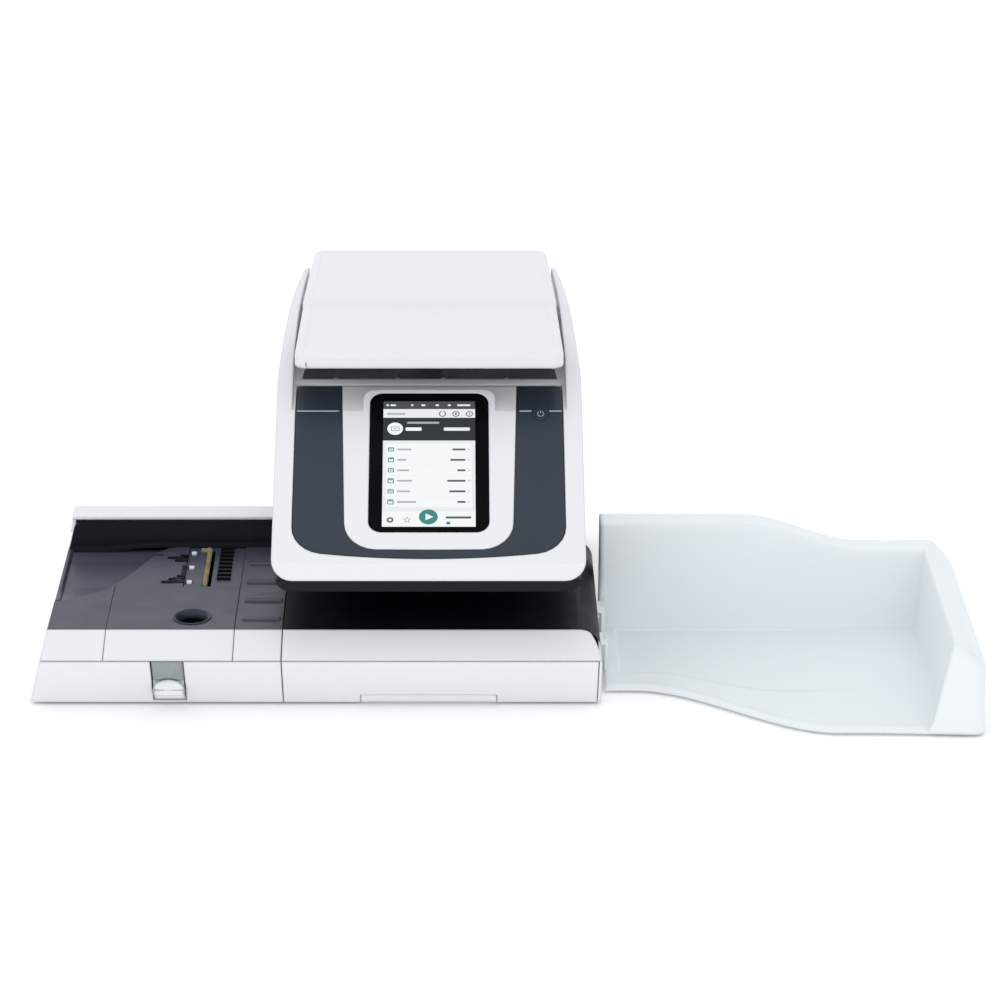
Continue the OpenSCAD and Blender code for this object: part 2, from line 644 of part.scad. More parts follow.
module feeder_deck() place() color("slategray") {
    difference() {
        intersection() {
            difference() {
                box([feeder_left, 0.2, deck_h - deck_t], [feeder_right, 216, deck_h]);
                linear_extrude(200) polygon(concat(scoop_edge, [[-260, 300], [-500, 300], [-500, 70]]));
            }
            xz(-10, 300) polygon([[feeder_left, skirt_z], [feeder_right, skirt_z], [feeder_right, 100],
                [feeder_left + feeder_slant * 100 / deck_h, 100]]);
        }
        cover_hole(0, 1);
        box([unit_left - 0.2, cover_rear - 1, 60], [seam_right + 0.2, 213, 100]);
    }
    // scooped floor behind the plateau edge
    intersection() {
        yz(feeder_left, -258) polygon([[70, deck_h - deck_t], [120, deck_h - 7 - deck_t], [190, deck_h - 8 - deck_t],
            [216, deck_h - 5 - deck_t], [216, deck_h - 5], [190, deck_h - 8], [120, deck_h - 7], [90, deck_h - 3.5], [70, deck_h]]);
        xz(0, 300) polygon([[feeder_left + 3.8, skirt_z], [0, skirt_z], [0, 100],
            [feeder_left + 3.8 + feeder_slant * 100 / deck_h, 100]]);
        linear_extrude(200) polygon(concat(scoop_edge, [[-260, 216], [-500, 216], [-500, 70]]));
    }
    for (y = [22, 68, 115, 163]) yz(seam_right + 6, feeder_right - 3) polygon([[y, deck_h - 1], [y + 10, deck_h - 1],
        [y + 10, deck_h], [y + 3, deck_h + 1.8], [y, deck_h + 1.4]]);
    box([-265.5, 195.5, hinge_z - 3], [-255.5, 200, deck_h]);
    difference() {
        rod_x(-265.5, -255.5, hinge_y, hinge_z, 2.4);
        rod_x(-280, -250, hinge_y, hinge_z, 1.5);
    }
    box([-265.5, hinge_y + 1.9, hinge_z - 2.4], [-255.5, 196, hinge_z]);
}
// area of the sealer cover, grown by g, as a vertical cut
module cover_hole(g, e) {
    translate([0, 0, 60]) linear_extrude(40) intersection() {
        polygon([[seam_left - g, -100], [seam_right + g, -100], [seam_right + g, cover_rear + g],
                 [unit_left + g, cover_rear + g], [unit_left + g, 195 + g], [seam_left - g, 195 + g]]);
        polygon(concat([for (p = scoop_edge) p + [-e, e]], [[-200, 220], [0, 200], [0, -200], [-500, -200], [-500, 70]]));
    }
}
module sealer_cover() place() color("slategray") {
    difference() {
        intersection() {
            box([seam_left, 0.2, deck_h - deck_t], [seam_right, 189, deck_h]);
            cover_hole(-0.6, -0.6);
        }
        rod_z(-232.2, 30.6, 50, 100, finger_r);
    }
    difference() {
        rod_z(-232.2, 30.6, deck_h - 9, deck_h - deck_t, finger_r + 2);
        rod_z(-232.2, 30.6, 50, 100, finger_r);
    }
    for (x = [-272, -255]) difference() {
        union() {
            rod_x(x, x + 6, hinge_y, hinge_z, 2.4);
            box([x, hinge_y - 8, hinge_z - 1.5], [x + 6, hinge_y, hinge_z + 0.8]);
        }
        rod_x(x - 1, x + 7, hinge_y, hinge_z, 1.55);
    }
}
module sealer_cover_front() place() color("white") {
    yz(seam_left + 0.6, seam_right - 0.6) polygon(band_profile(wall));
}
module sealer_hinge_pin() place() color("silver") rod_x(-272, -249, hinge_y, hinge_z, 1.5);
module feeder_wall() place() color("darkslategray") {
    yz(feeder_left + 26, feeder_right) polygon([[216.2, deck_h - 16], [218.8, deck_h - 16], [219, deck_h + 6], [226.8, 101.8],
        [224.2, 101.8], [216.4, deck_h + 6]]);
}
module feeder_pan() place() color("dimgray") {
    difference() {
        box([feeder_left + 16, -2, skirt_z], [feeder_right, 250.8, 60]);
        box([feeder_left + 19, -3, floor_z + wall], [feeder_right - wall, 248, 61]);
        box([feeder_left + 19, -3, skirt_z - 1], [feeder_right - wall, 248, floor_z]);
        box([feeder_left + 5, -3, 45], [feeder_left + 20, 260, 61]);
    }
}
module feeder_feet() place() color("black") {
    for (x = [-360, -165], y = [28, 230]) rod_z(x, y, 0, floor_z, 9);
}
module sealer_unit() place() color("gray") {
    difference() {
        box([unit_left, cover_rear, deck_h - 14], [seam_right - 0.2, 212.6, deck_h - 1]);
        box([unit_left + 2, cover_rear + 2, deck_h - 15], [seam_right - 2.2, 210.6, deck_h - 4]);
        box([-228, 110, deck_h - 9], [-219, 205, deck_h + 1]);
        for (y = [120, 158, 196]) box([-246 + 1, y - 4, deck_h - 9], [-238, y + 4, deck_h + 1]);
        for (i = [0:8]) box([-214, 127 + 10 * i, deck_h - 9], [-200, 131 + 10 * i, deck_h + 1]);
    }
}
module moistening_brush() place() color("wheat") {
    box([-227.8, 110.2, deck_h - 9], [-222, 204.8, deck_h + 2]);
}
module flap_comb() place() color("black") {
    for (i = [0:8]) box([-213.8, 127.2 + 10 * i, deck_h - 8], [-200.2, 130.8 + 10 * i, deck_h + 1.5]);
    box([-213.8, 127.2, deck_h - 11], [-200.2, 210, deck_h - 8]);
}
module flap_pads() place() color("white") {
    for (y = [120, 158, 196]) box([-243.4, y - 2.8, deck_h - 8], [-238.2, y + 2.8, deck_h + 0.5]);
}
module water_tank() place() color("lightblue") {
    difference() {
        union() {
            box([tank_x - tank_w / 2, -24, 18.4], [tank_x + tank_w / 2, 84, 36]);
            yz(tank_x - tank_w / 2, tank_x + tank_w / 2) polygon([[-11, 8], [-20, 23.5], [-24, 36], [-10, 36], [-6, 8]]);
        }
        box([tank_x - tank_w / 2 + 2, -12, 20.4], [tank_x + tank_w / 2 - 2, 82, 34]);
    }
}

// ---- catch tray ----
function tray_front(x) = 20 - 100 * ease(x, 195, 430);
function tray_rim(x) = tray_high - (tray_high - tray_low) * ease(x, 320, 425);
function tray_side(t) = [[480, 0], [tray_right + 1, 0], [tray_right + 1, tray_low - 22 - t], [tray_right - 5, tray_low - 19 - t],
    [509, tray_low - 1 - t], [503, tray_low - t], [480, tray_low - t]];
tray_n = 22;
tray_xs = [for (i = [0:tray_n]) tray_left + (tray_right - tray_left) * i / tray_n];
module catch_tray() place() color("aliceblue") {
    // floor
    translate([0, 0, 2]) linear_extrude(3)
        polygon(concat([for (x = tray_xs) [x, tray_front(x)]], [[tray_right - 2, tray_back], [tray_left, tray_back]]));
    // rear wall: inner skin, rim and outer skin
    intersection() {
        xz(0, 300) polygon(concat([[tray_right - 2, 5], [tray_left, 5]], [for (x = tray_xs) [min(x, tray_right - 2), tray_rim(x)]]));
        union() {
            box([tray_left, tray_wall_y, 5], [tray_right, tray_wall_y + 3, 200]);
            box([tray_left, tray_back - 3, 5], [tray_right, tray_back, 200]);
        }
    }
    for (i = [0:tray_n - 1]) let (x0 = tray_xs[i], x1 = min(tray_xs[i + 1], tray_right - 2))
        xz(tray_wall_y, tray_back) polygon([[x0, tray_rim(x0) - 3], [x1, tray_rim(x1) - 3], [x1, tray_rim(x1)], [x0, tray_rim(x0)]]);
    // right wall, its rim falling outwards
    difference() {
        intersection() {
            linear_extrude(tray_low) polygon([[493, -80], [tray_right, -84], [tray_right, tray_back], [503, tray_back],
                [503, tray_wall_y]]);
            xz(-90, 300) polygon(tray_side(0));
        }
        intersection() {
            translate([0, 0, -1]) linear_extrude(tray_low) polygon([[496.2, -76], [tray_right - 3, -80],
                [tray_right - 3, tray_back - 3], [506, tray_back - 3], [506, tray_wall_y]]);
            xz(-90, 300) polygon(tray_side(3));
        }
        box([480, -90, -1], [600, 300, 2]);
    }
}
module tray_hooks() place() color("gray") {
    for (y = hook_ys) {
        box([tray_left + 1, y, 5], [tray_left + 5, y + 16, 41]);
        box([base_right - 2.7, y, 33.5], [tray_left + 1, y + 16, 40.5]);
    }
}
module tray_feet() place() color("gray") {
    for (p = [[190, 40], [190, 190], [515, -60], [515, 190]]) rod_z(p[0], p[1], 0, 2, 8);
}

base_tub();
lower_panel();
front_band();
deck_plate();
side_cover();
rear_housing();
rear_cover();
side_frames();
cross_bars();
underside_housing();
head_shell();
base_feet();
main_board();
power_supply();
connector_block();
power_inlet();
drive_motor();
motor_pulley();
timing_belt();
drive_shaft();
idler_shaft();
bearing_blocks();
transport_belts();
roller_carriage();
pressure_roller_1();
pressure_roller_2();
pressure_roller_3();
release_lever();
guide_rods();
print_carriage();
ink_cartridge();
load_cell();
platform_bracket();
platform_pads();
weighing_platform();
door_band();
door_panel();
screen_glass();
display_module();
power_button();
hinge_pins();
card_drawer();
feeder_case();
feeder_band();
feeder_deck();
feeder_wall();
feeder_pan();
feeder_feet();
sealer_cover();
sealer_cover_front();
sealer_hinge_pin();
sealer_unit();
moistening_brush();
flap_comb();
flap_pads();
water_tank();
catch_tray();
tray_hooks();
tray_feet();
frame_screws();
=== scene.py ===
import bpy
import json
import math
import numpy as np
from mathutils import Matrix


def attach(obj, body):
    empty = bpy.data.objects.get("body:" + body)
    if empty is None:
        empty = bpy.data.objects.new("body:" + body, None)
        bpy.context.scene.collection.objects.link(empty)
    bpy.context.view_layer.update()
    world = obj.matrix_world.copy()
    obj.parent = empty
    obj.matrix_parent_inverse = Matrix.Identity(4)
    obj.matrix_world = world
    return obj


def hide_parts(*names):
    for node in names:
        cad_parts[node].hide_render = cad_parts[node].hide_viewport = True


# Franking machine: finishes, touch-screen picture and the moulded pieces round the fixed frame.
# Lengths are metres in the frame's own axes: +X along the mail path, +Y to the rear, +Z up.

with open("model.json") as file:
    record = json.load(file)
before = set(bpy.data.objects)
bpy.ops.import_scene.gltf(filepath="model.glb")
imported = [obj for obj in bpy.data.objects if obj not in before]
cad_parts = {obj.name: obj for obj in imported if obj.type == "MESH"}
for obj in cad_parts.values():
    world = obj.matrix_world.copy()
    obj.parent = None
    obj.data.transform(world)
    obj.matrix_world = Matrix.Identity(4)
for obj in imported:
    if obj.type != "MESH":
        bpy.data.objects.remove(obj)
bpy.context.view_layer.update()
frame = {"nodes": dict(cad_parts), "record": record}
print("frame loaded", len(frame["nodes"]), "nodes")

headMiddle = -0.073  # X of the head's middle line
headFront = -0.173   # Y of the head's lower front edge


def meshPiece(name, body, points, faces, finish, smooth=True, colours=None):
    mesh = bpy.data.meshes.new(name)
    mesh.from_pydata(np.asarray(points, float).tolist(), [], faces)
    mesh.validate()
    if smooth:
        mesh.polygons.foreach_set("use_smooth", np.ones(len(mesh.polygons), bool))
    if colours is not None:
        layer = mesh.attributes.new("pictureInk", "FLOAT_COLOR", "FACE")
        layer.data.foreach_set("color", np.asarray(colours, np.float32).ravel())
    piece = bpy.data.objects.new(name, mesh)
    bpy.context.scene.collection.objects.link(piece)
    piece.data.materials.append(finish)
    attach(piece, body)
    return piece


# grid of rows x columns points joined by quads; wrapRows closes the row direction into a loop
def gridFaces(rows, columns, wrapRows=False, flip=False):
    rowCount = rows if wrapRows else rows - 1
    r, c = np.meshgrid(np.arange(rowCount), np.arange(columns - 1), indexing="ij")
    a = r * columns + c
    b = ((r + 1) % rows) * columns + c
    quads = np.stack([a, b, b + 1, a + 1], -1).reshape(-1, 4)
    return (quads[:, ::-1] if flip else quads).tolist()


# smooth step: 0 before low, 1 after high, three t squared minus two t cubed between
def easeStep(x, low, high):
    t = np.clip((x - low) / (high - low), 0, 1)
    return t * t * (3 - 2 * t)


# soft maximum of two height fields: their mean plus half the root of squared difference plus squared blend
def softMax(a, b, blend):
    return (a + b + np.sqrt((a - b) ** 2 + blend ** 2)) / 2


def softMin(a, b, blend):
    return -softMax(-a, -b, blend)


# new finish with its node tree, its shader and the coordinates that its patterns read
def startFinish(name):
    finish = bpy.data.materials.new(name)
    finish.use_nodes = True
    tree = finish.node_tree
    shader = tree.nodes["Principled BSDF"]
    coords = tree.nodes.new("ShaderNodeTexCoord").outputs["Object"]
    return finish, tree, shader, coords


# noise over the piece's own coordinates, with each axis stretched by its own factor
def noiseOf(tree, coords, scale, detail=3.0, stretch=(1, 1, 1)):
    mapping = tree.nodes.new("ShaderNodeMapping")
    mapping.inputs["Scale"].default_value = stretch
    noise = tree.nodes.new("ShaderNodeTexNoise")
    noise.inputs["Scale"].default_value = scale
    noise.inputs["Detail"].default_value = detail
    tree.links.new(coords, mapping.inputs["Vector"])
    tree.links.new(mapping.outputs["Vector"], noise.inputs["Vector"])
    return noise.outputs["Fac"]


# value carried from one range to another
def spread(tree, value, low, high, fromLow=0.3, fromHigh=0.7):
    ranged = tree.nodes.new("ShaderNodeMapRange")
    ranged.inputs["From Min"].default_value = fromLow
    ranged.inputs["From Max"].default_value = fromHigh
    ranged.inputs["To Min"].default_value = low
    ranged.inputs["To Max"].default_value = high
    tree.links.new(value, ranged.inputs["Value"])
    return ranged.outputs["Result"]


# mix of two colours, each a plain colour or a socket
def tintBetween(tree, amount, colourA, colourB):
    mix = tree.nodes.new("ShaderNodeMix")
    mix.data_type = "RGBA"
    tree.links.new(amount, mix.inputs["Factor"])
    for socket, colour in (("A", colourA), ("B", colourB)):
        target = [s for s in mix.inputs if s.name == socket and s.type == "RGBA"][0]
        if isinstance(colour, tuple):
            target.default_value = (*colour, 1)
        else:
            tree.links.new(colour, target)
    return [s for s in mix.outputs if s.type == "RGBA"][0]


# normal of the surface with its edges rounded over edgeSoft, then moulded grain on top
def grainNormal(tree, shader, grain, depth, edgeSoft):
    bump = tree.nodes.new("ShaderNodeBump")
    bump.inputs["Distance"].default_value = depth
    bump.inputs["Strength"].default_value = 1.0
    tree.links.new(grain, bump.inputs["Height"])
    soft = tree.nodes.new("ShaderNodeBevel")
    soft.samples = 6
    soft.inputs["Radius"].default_value = edgeSoft
    tree.links.new(soft.outputs["Normal"], bump.inputs["Normal"])
    tree.links.new(bump.outputs["Normal"], shader.inputs["Normal"])
    return soft


# how much an edge is rubbed: one where the rounded normal leaves the flat one
def edgeRub(tree, soft):
    geometry = tree.nodes.new("ShaderNodeNewGeometry")
    dot = tree.nodes.new("ShaderNodeVectorMath")
    dot.operation = "DOT_PRODUCT"
    tree.links.new(soft.outputs["Normal"], dot.inputs[0])
    tree.links.new(geometry.outputs["Normal"], dot.inputs[1])
    return spread(tree, dot.outputs["Value"], 1.0, 0.0, 0.72, 0.995)


# moulded plastic: broad tone drift, fine moulded grain, roughness drift and lightly rubbed edges
def mouldedPlastic(name):
    look = plasticLooks[name]
    finish, tree, shader, coords = startFinish(name)
    grain = noiseOf(tree, coords, look["grainScale"], 2.0)
    soft = grainNormal(tree, shader, grain, look["grainDepth"], look["edgeSoft"])
    drift = spread(tree, noiseOf(tree, coords, look["driftScale"], 4.0), 0.0, 1.0)
    tone = tintBetween(tree, drift, look["colour"], look["tint"])
    rub = edgeRub(tree, soft)
    weakRub = tree.nodes.new("ShaderNodeMath")
    weakRub.operation = "MULTIPLY"
    weakRub.inputs[1].default_value = look["rubAmount"]
    tree.links.new(rub, weakRub.inputs[0])
    tone = tintBetween(tree, weakRub.outputs["Value"], tone, look["rubColour"])
    tree.links.new(tone, shader.inputs["Base Color"])
    wear = spread(tree, noiseOf(tree, coords, 38.0, 5.0), look["rough"] - 0.05, look["rough"] + 0.05)
    tree.links.new(wear, shader.inputs["Roughness"])
    shader.inputs["Specular IOR Level"].default_value = look.get("specular", 0.5)
    shader.inputs["Coat Weight"].default_value = look.get("coat", 0.0)
    shader.inputs["Coat Roughness"].default_value = 0.12
    return finish


# colour and tint are the two ends of the tone drift; rubColour shows where edges are rubbed
plasticLooks = {
    "whiteShellPlastic": dict(
        colour=(0.788, 0.792, 0.812), tint=(0.77, 0.775, 0.797), rubColour=(0.86, 0.87, 0.88), rubAmount=0.4,
        rough=0.36, grainScale=2400, grainDepth=0.000012, driftScale=7, edgeSoft=0.003),
    "trayPlastic": dict(
        colour=(0.81, 0.845, 0.865), tint=(0.795, 0.832, 0.852), rubColour=(0.87, 0.895, 0.91), rubAmount=0.5,
        rough=0.42, grainScale=1900, grainDepth=0.000014, driftScale=5, edgeSoft=0.002),
    "slateBandPlastic": dict(
        colour=(0.023, 0.034, 0.050), tint=(0.020, 0.030, 0.045), rubColour=(0.05, 0.066, 0.088),
        rubAmount=0.4, rough=0.33, grainScale=2600, grainDepth=0.000004, driftScale=14, edgeSoft=0.0007,
        specular=0.3),
    "deckSlatePlastic": dict(
        colour=(0.044, 0.048, 0.075), tint=(0.036, 0.040, 0.064), rubColour=(0.12, 0.12, 0.15), rubAmount=0.5,
        rough=0.40, grainScale=1500, grainDepth=0.00003, driftScale=11, edgeSoft=0.0015),
    # the next two are darker copies of the deck's slate, painted shade for parts that sit in shadow
    "slateDeepPaintedShade": dict(
        colour=(0.0035, 0.0055, 0.009), tint=(0.003, 0.0045, 0.0075), rubColour=(0.015, 0.02, 0.03),
        rubAmount=0.3, rough=0.42, grainScale=1700, grainDepth=0.00002, driftScale=12, edgeSoft=0.0008,
        specular=0.1),
    "slateShade": dict(
        colour=(0.007, 0.011, 0.017), tint=(0.006, 0.009, 0.014), rubColour=(0.04, 0.05, 0.07), rubAmount=0.3,
        rough=0.36, grainScale=2000, grainDepth=0.00001, driftScale=12, edgeSoft=0.0012,
        specular=0.16),
    "innerBlackPlastic": dict(
        colour=(0.012, 0.0125, 0.014), tint=(0.017, 0.0175, 0.02), rubColour=(0.05, 0.05, 0.055),
        rubAmount=0.4, rough=0.45, grainScale=1700, grainDepth=0.00002, driftScale=18, edgeSoft=0.0008),
    "innerGreyPlastic": dict(
        colour=(0.20, 0.21, 0.225), tint=(0.17, 0.18, 0.195), rubColour=(0.32, 0.33, 0.34), rubAmount=0.5,
        rough=0.45, grainScale=1700, grainDepth=0.00002, driftScale=16, edgeSoft=0.0008),
    "touchPointBlue": dict(
        colour=(0.02, 0.11, 0.34), tint=(0.017, 0.09, 0.29), rubColour=(0.09, 0.22, 0.48), rubAmount=0.5,
        rough=0.3, grainScale=2200, grainDepth=0.00001, driftScale=20, edgeSoft=0.0008, coat=0.2),
    # pale lavender: the power mark's print, and the painted highlight strips along the band's crease
    "paleInkAndCreaseHighlight": dict(
        colour=(0.62, 0.60, 0.74), tint=(0.55, 0.54, 0.68), rubColour=(0.7, 0.7, 0.8), rubAmount=0.3,
        rough=0.25, grainScale=2500, grainDepth=0.000004, driftScale=20, edgeSoft=0.0003),
    "clearBottle": dict(
        colour=(0.30, 0.335, 0.335), tint=(0.24, 0.27, 0.275), rubColour=(0.5, 0.53, 0.53), rubAmount=0.5,
        rough=0.16, grainScale=900, grainDepth=0.00001, driftScale=60, edgeSoft=0.001),
}


# brushed or drawn metal: noise stretched along one axis for the lines, with a tone drift
def drawnMetal(name, colour, shade, rough, stretch):
    finish, tree, shader, coords = startFinish(name)
    lines = noiseOf(tree, coords, 260.0, 4.0, stretch)
    grainNormal(tree, shader, lines, 0.00002, 0.0005)
    drift = spread(tree, noiseOf(tree, coords, 22.0, 4.0), 0.0, 1.0)
    tree.links.new(tintBetween(tree, drift, colour, shade), shader.inputs["Base Color"])
    tree.links.new(spread(tree, lines, rough - 0.08, rough + 0.1), shader.inputs["Roughness"])
    shader.inputs["Metallic"].default_value = 1.0
    return finish


# mat rubber: deep moulded grain with pale dust in patches
def matRubber(name):
    finish, tree, shader, coords = startFinish(name)
    grain = noiseOf(tree, coords, 900.0, 5.0)
    grainNormal(tree, shader, grain, 0.00006, 0.0006)
    dust = spread(tree, noiseOf(tree, coords, 70.0, 6.0), 0.0, 1.0, 0.45, 0.8)
    tone = tintBetween(tree, dust, (0.013, 0.013, 0.014), (0.04, 0.04, 0.042))
    tree.links.new(tone, shader.inputs["Base Color"])
    tree.links.new(spread(tree, grain, 0.7, 0.9), shader.inputs["Roughness"])
    return finish


# toughened black glass with faint finger marks in its gloss
def touchGlass(name):
    finish, tree, shader, coords = startFinish(name)
    smears = noiseOf(tree, coords, 26.0, 7.0, (1, 1.8, 1))
    tree.links.new(spread(tree, smears, 0.03, 0.13, 0.4, 0.75), shader.inputs["Roughness"])
    haze = spread(tree, noiseOf(tree, coords, 12.0, 5.0), 0.0, 1.0, 0.4, 0.8)
    tone = tintBetween(tree, haze, (0.0025, 0.0026, 0.003), (0.006, 0.006, 0.0068))
    tree.links.new(tone, shader.inputs["Base Color"])
    shader.inputs["Specular IOR Level"].default_value = 0.02
    grainNormal(tree, shader, noiseOf(tree, coords, 300.0, 2.0), 0.000001, 0.0012)
    return finish


# lit display picture: ink colour per face, a faint weave in it and the glass gloss over it
def displayPicture(name):
    finish, tree, shader, coords = startFinish(name)
    ink = tree.nodes.new("ShaderNodeAttribute")
    ink.attribute_name = "pictureInk"
    weave = spread(tree, noiseOf(tree, coords, 1400.0, 1.0), 0.0, 0.06)
    toned = tintBetween(tree, weave, ink.outputs["Color"], (0.0, 0.0, 0.0))
    tree.links.new(toned, shader.inputs["Emission Color"])
    shader.inputs["Emission Strength"].default_value = 1.05
    shader.inputs["Base Color"].default_value = (0.004, 0.004, 0.004, 1)
    shader.inputs["Specular IOR Level"].default_value = 0.02
    tree.links.new(spread(tree, noiseOf(tree, coords, 26.0, 7.0), 0.06, 0.16), shader.inputs["Roughness"])
    return finish


# circuit board: solder mask with copper tracks seen through it as a brick-like network
def circuitBoard(name):
    finish, tree, shader, coords = startFinish(name)
    tracks = tree.nodes.new("ShaderNodeTexBrick")
    tracks.inputs["Scale"].default_value = 150.0
    tracks.inputs["Mortar Size"].default_value = 0.06
    tracks.inputs["Color1"].default_value = (0.006, 0.055, 0.024, 1)
    tracks.inputs["Color2"].default_value = (0.008, 0.07, 0.03, 1)
    tracks.inputs["Mortar"].default_value = (0.05, 0.16, 0.06, 1)
    tree.links.new(coords, tracks.inputs["Vector"])
    tree.links.new(tracks.outputs["Color"], shader.inputs["Base Color"])
    grainNormal(tree, shader, tracks.outputs["Fac"], 0.00005, 0.0004)
    tree.links.new(spread(tree, noiseOf(tree, coords, 90.0, 3.0), 0.25, 0.4), shader.inputs["Roughness"])
    return finish


# nylon bristles: fine upright strands, darker where damp
def nylonBristle(name):
    finish, tree, shader, coords = startFinish(name)
    strands = noiseOf(tree, coords, 1500.0, 2.0, (1, 1, 0.05))
    grainNormal(tree, shader, strands, 0.0002, 0.0003)
    damp = spread(tree, noiseOf(tree, coords, 60.0, 4.0), 0.0, 1.0)
    tone = tintBetween(tree, damp, (0.66, 0.58, 0.36), (0.48, 0.41, 0.24))
    tree.links.new(tone, shader.inputs["Base Color"])
    tree.links.new(spread(tree, strands, 0.5, 0.75), shader.inputs["Roughness"])
    return finish


# milky bottle plastic: light comes through it, with flow lines from the mould
def bottlePlastic(name):
    finish, tree, shader, coords = startFinish(name)
    flow = noiseOf(tree, coords, 55.0, 4.0, (1, 0.3, 1))
    grainNormal(tree, shader, flow, 0.0001, 0.0015)
    tone = tintBetween(tree, spread(tree, flow, 0.0, 1.0), (0.70, 0.77, 0.78), (0.62, 0.71, 0.72))
    tree.links.new(tone, shader.inputs["Base Color"])
    tree.links.new(spread(tree, noiseOf(tree, coords, 30.0, 4.0), 0.22, 0.34), shader.inputs["Roughness"])
    shader.inputs["Transmission Weight"].default_value = 0.35
    shader.inputs["IOR"].default_value = 1.49
    return finish


finishes = {
    "white_shell": mouldedPlastic("whiteShellPlastic"),
    "tray_plastic": mouldedPlastic("trayPlastic"),
    "slate_gloss": mouldedPlastic("slateBandPlastic"),
    "deck_slate": mouldedPlastic("deckSlatePlastic"),
    "deep": mouldedPlastic("slateDeepPaintedShade"),
    "shade": mouldedPlastic("slateShade"),
    "black_plastic": mouldedPlastic("innerBlackPlastic"),
    "grey_plastic": mouldedPlastic("innerGreyPlastic"),
    "blue_plastic": mouldedPlastic("touchPointBlue"),
    "printInkAndHighlight": mouldedPlastic("paleInkAndCreaseHighlight"),
    "clear_bottle": mouldedPlastic("clearBottle"),
    "screen": touchGlass("touchGlass"),
    "steel": drawnMetal("zincSteel", (0.56, 0.57, 0.58), (0.47, 0.48, 0.50), 0.34, (0.04, 1, 1)),
    "aluminium": drawnMetal("turnedAluminium", (0.74, 0.75, 0.76), (0.66, 0.67, 0.69), 0.28, (1, 0.04, 1)),
    "rubber_black": matRubber("blackRubber"),
    "circuit_board": circuitBoard("solderMask"),
    "brush_fibre": nylonBristle("nylonBristle"),
    "tank_plastic": bottlePlastic("bottlePlastic"),
}
pictureFinish = displayPicture("displayPicture")

# nodes given another finish than their slot's own: feeder_wall, deck_plate and flap_comb take the near-black
# slate copy and underside_housing the dark slate copy, painted shade standing in for the shadow these parts
# sit in; sealer_unit takes the deck's slate
shadeOfNode = {
    "feeder_wall": "deep", "deck_plate": "deep", "flap_comb": "deep",
    "underside_housing": "shade", "sealer_unit": "deck_slate",
}
slotOfNode = {s["node"]: s["material_slot"] for s in frame["record"]["subparts"]}
for nodeName, node in frame["nodes"].items():
    node.data.materials.clear()
    node.data.materials.append(finishes[shadeOfNode.get(nodeName, slotOfNode[nodeName])])
print("finishes made and given to the frame")


facePlane = {"creaseY": -0.1682, "creaseZ": 0.1457, "slope": 31.5, "glassMiddle": 0.1224}


# point on the operator face: u across, v up the slope from the glass middle, w out of the face
def onFace(u, v, w):
    a = math.radians(facePlane["slope"])
    s = facePlane["glassMiddle"] + np.asarray(v, float)
    u = np.asarray(u, float) + headMiddle
    y = facePlane["creaseY"] + s * math.cos(a) - w * math.sin(a)
    z = facePlane["creaseZ"] + s * math.sin(a) + w * math.cos(a)
    return np.stack(np.broadcast_arrays(u, y, z), -1)


# outline of a rounded bar: four quarter arcs of equal radius round a rectangle
def barOutline(u, v, width, height, radius, steps=6):
    turn = np.linspace(0, math.pi / 2, steps)
    across, up = [], []
    for sideU, sideV, quarter in ((1, 1, 0), (-1, 1, 1), (-1, -1, 2), (1, -1, 3)):
        angle = turn + quarter * math.pi / 2
        across.append(u + sideU * (width / 2 - radius) + radius * np.cos(angle))
        up.append(v + sideV * (height / 2 - radius) + radius * np.sin(angle))
    return np.concatenate(across), np.concatenate(up)


# regular outline whose radius swings between two values, as a star or a gear
def starOutline(u, v, outer, inner, points, start=90):
    turn = np.radians(start) + np.arange(points * 2) * math.pi / points
    radius = np.where(np.arange(points * 2) % 2 == 0, outer, inner)
    return u + radius * np.cos(turn), v + radius * np.sin(turn)


def discOutline(u, v, radius, sides=40):
    turn = np.arange(sides) * 2 * math.pi / sides
    return u + radius * np.cos(turn), v + radius * np.sin(turn)


# all places and sizes are millimetres from the middle of the glass
screenPicture = {
    "width": 91.4, "height": 152.4, "below": 3.6,  # lit area, and how far the paper runs on under it
    "statusV": 71.3, "titleV": 60.3, "accountV": 41.0, "listV": -16.8, "footV": -70.3,
    "listWidth": 84.0, "rowTop": 15.4, "rowPitch": 13.0,
    "statusMarks": ((-41.5, 2.4), (-36, 5.5), (-17, 2.2), (-6, 4.0), (8, 3.4), (20, 3.0), (34.5, 13)),
    "ringsU": (13.2, 26.6, 40.0),
    "labelWidths": (14, 9, 12, 15, 13, 19),
    "valueWidths": (13, 15, 8, 18, 16, 8),
    "boxU": -37.6, "labelU": -31.5, "valueU": 36.0, "chevronU": 38.4,
    "letterU": -33.8, "letterV": 41.5,
    "gearU": -37.8, "starU": -21.2, "signV": -71.6, "playU": -0.4, "playV": -67.9,
    "layerLift": 0.00004, "sunk": -0.00014,  # metres out of the face
    "inks": {
        "white": (0.90, 0.92, 0.92), "paper": (0.80, 0.83, 0.84), "slate": (0.032, 0.040, 0.046),
        "status": (0.07, 0.08, 0.085), "teal": (0.05, 0.26, 0.235), "ink": (0.10, 0.12, 0.13),
        "faint": (0.42, 0.46, 0.48),
    },
}


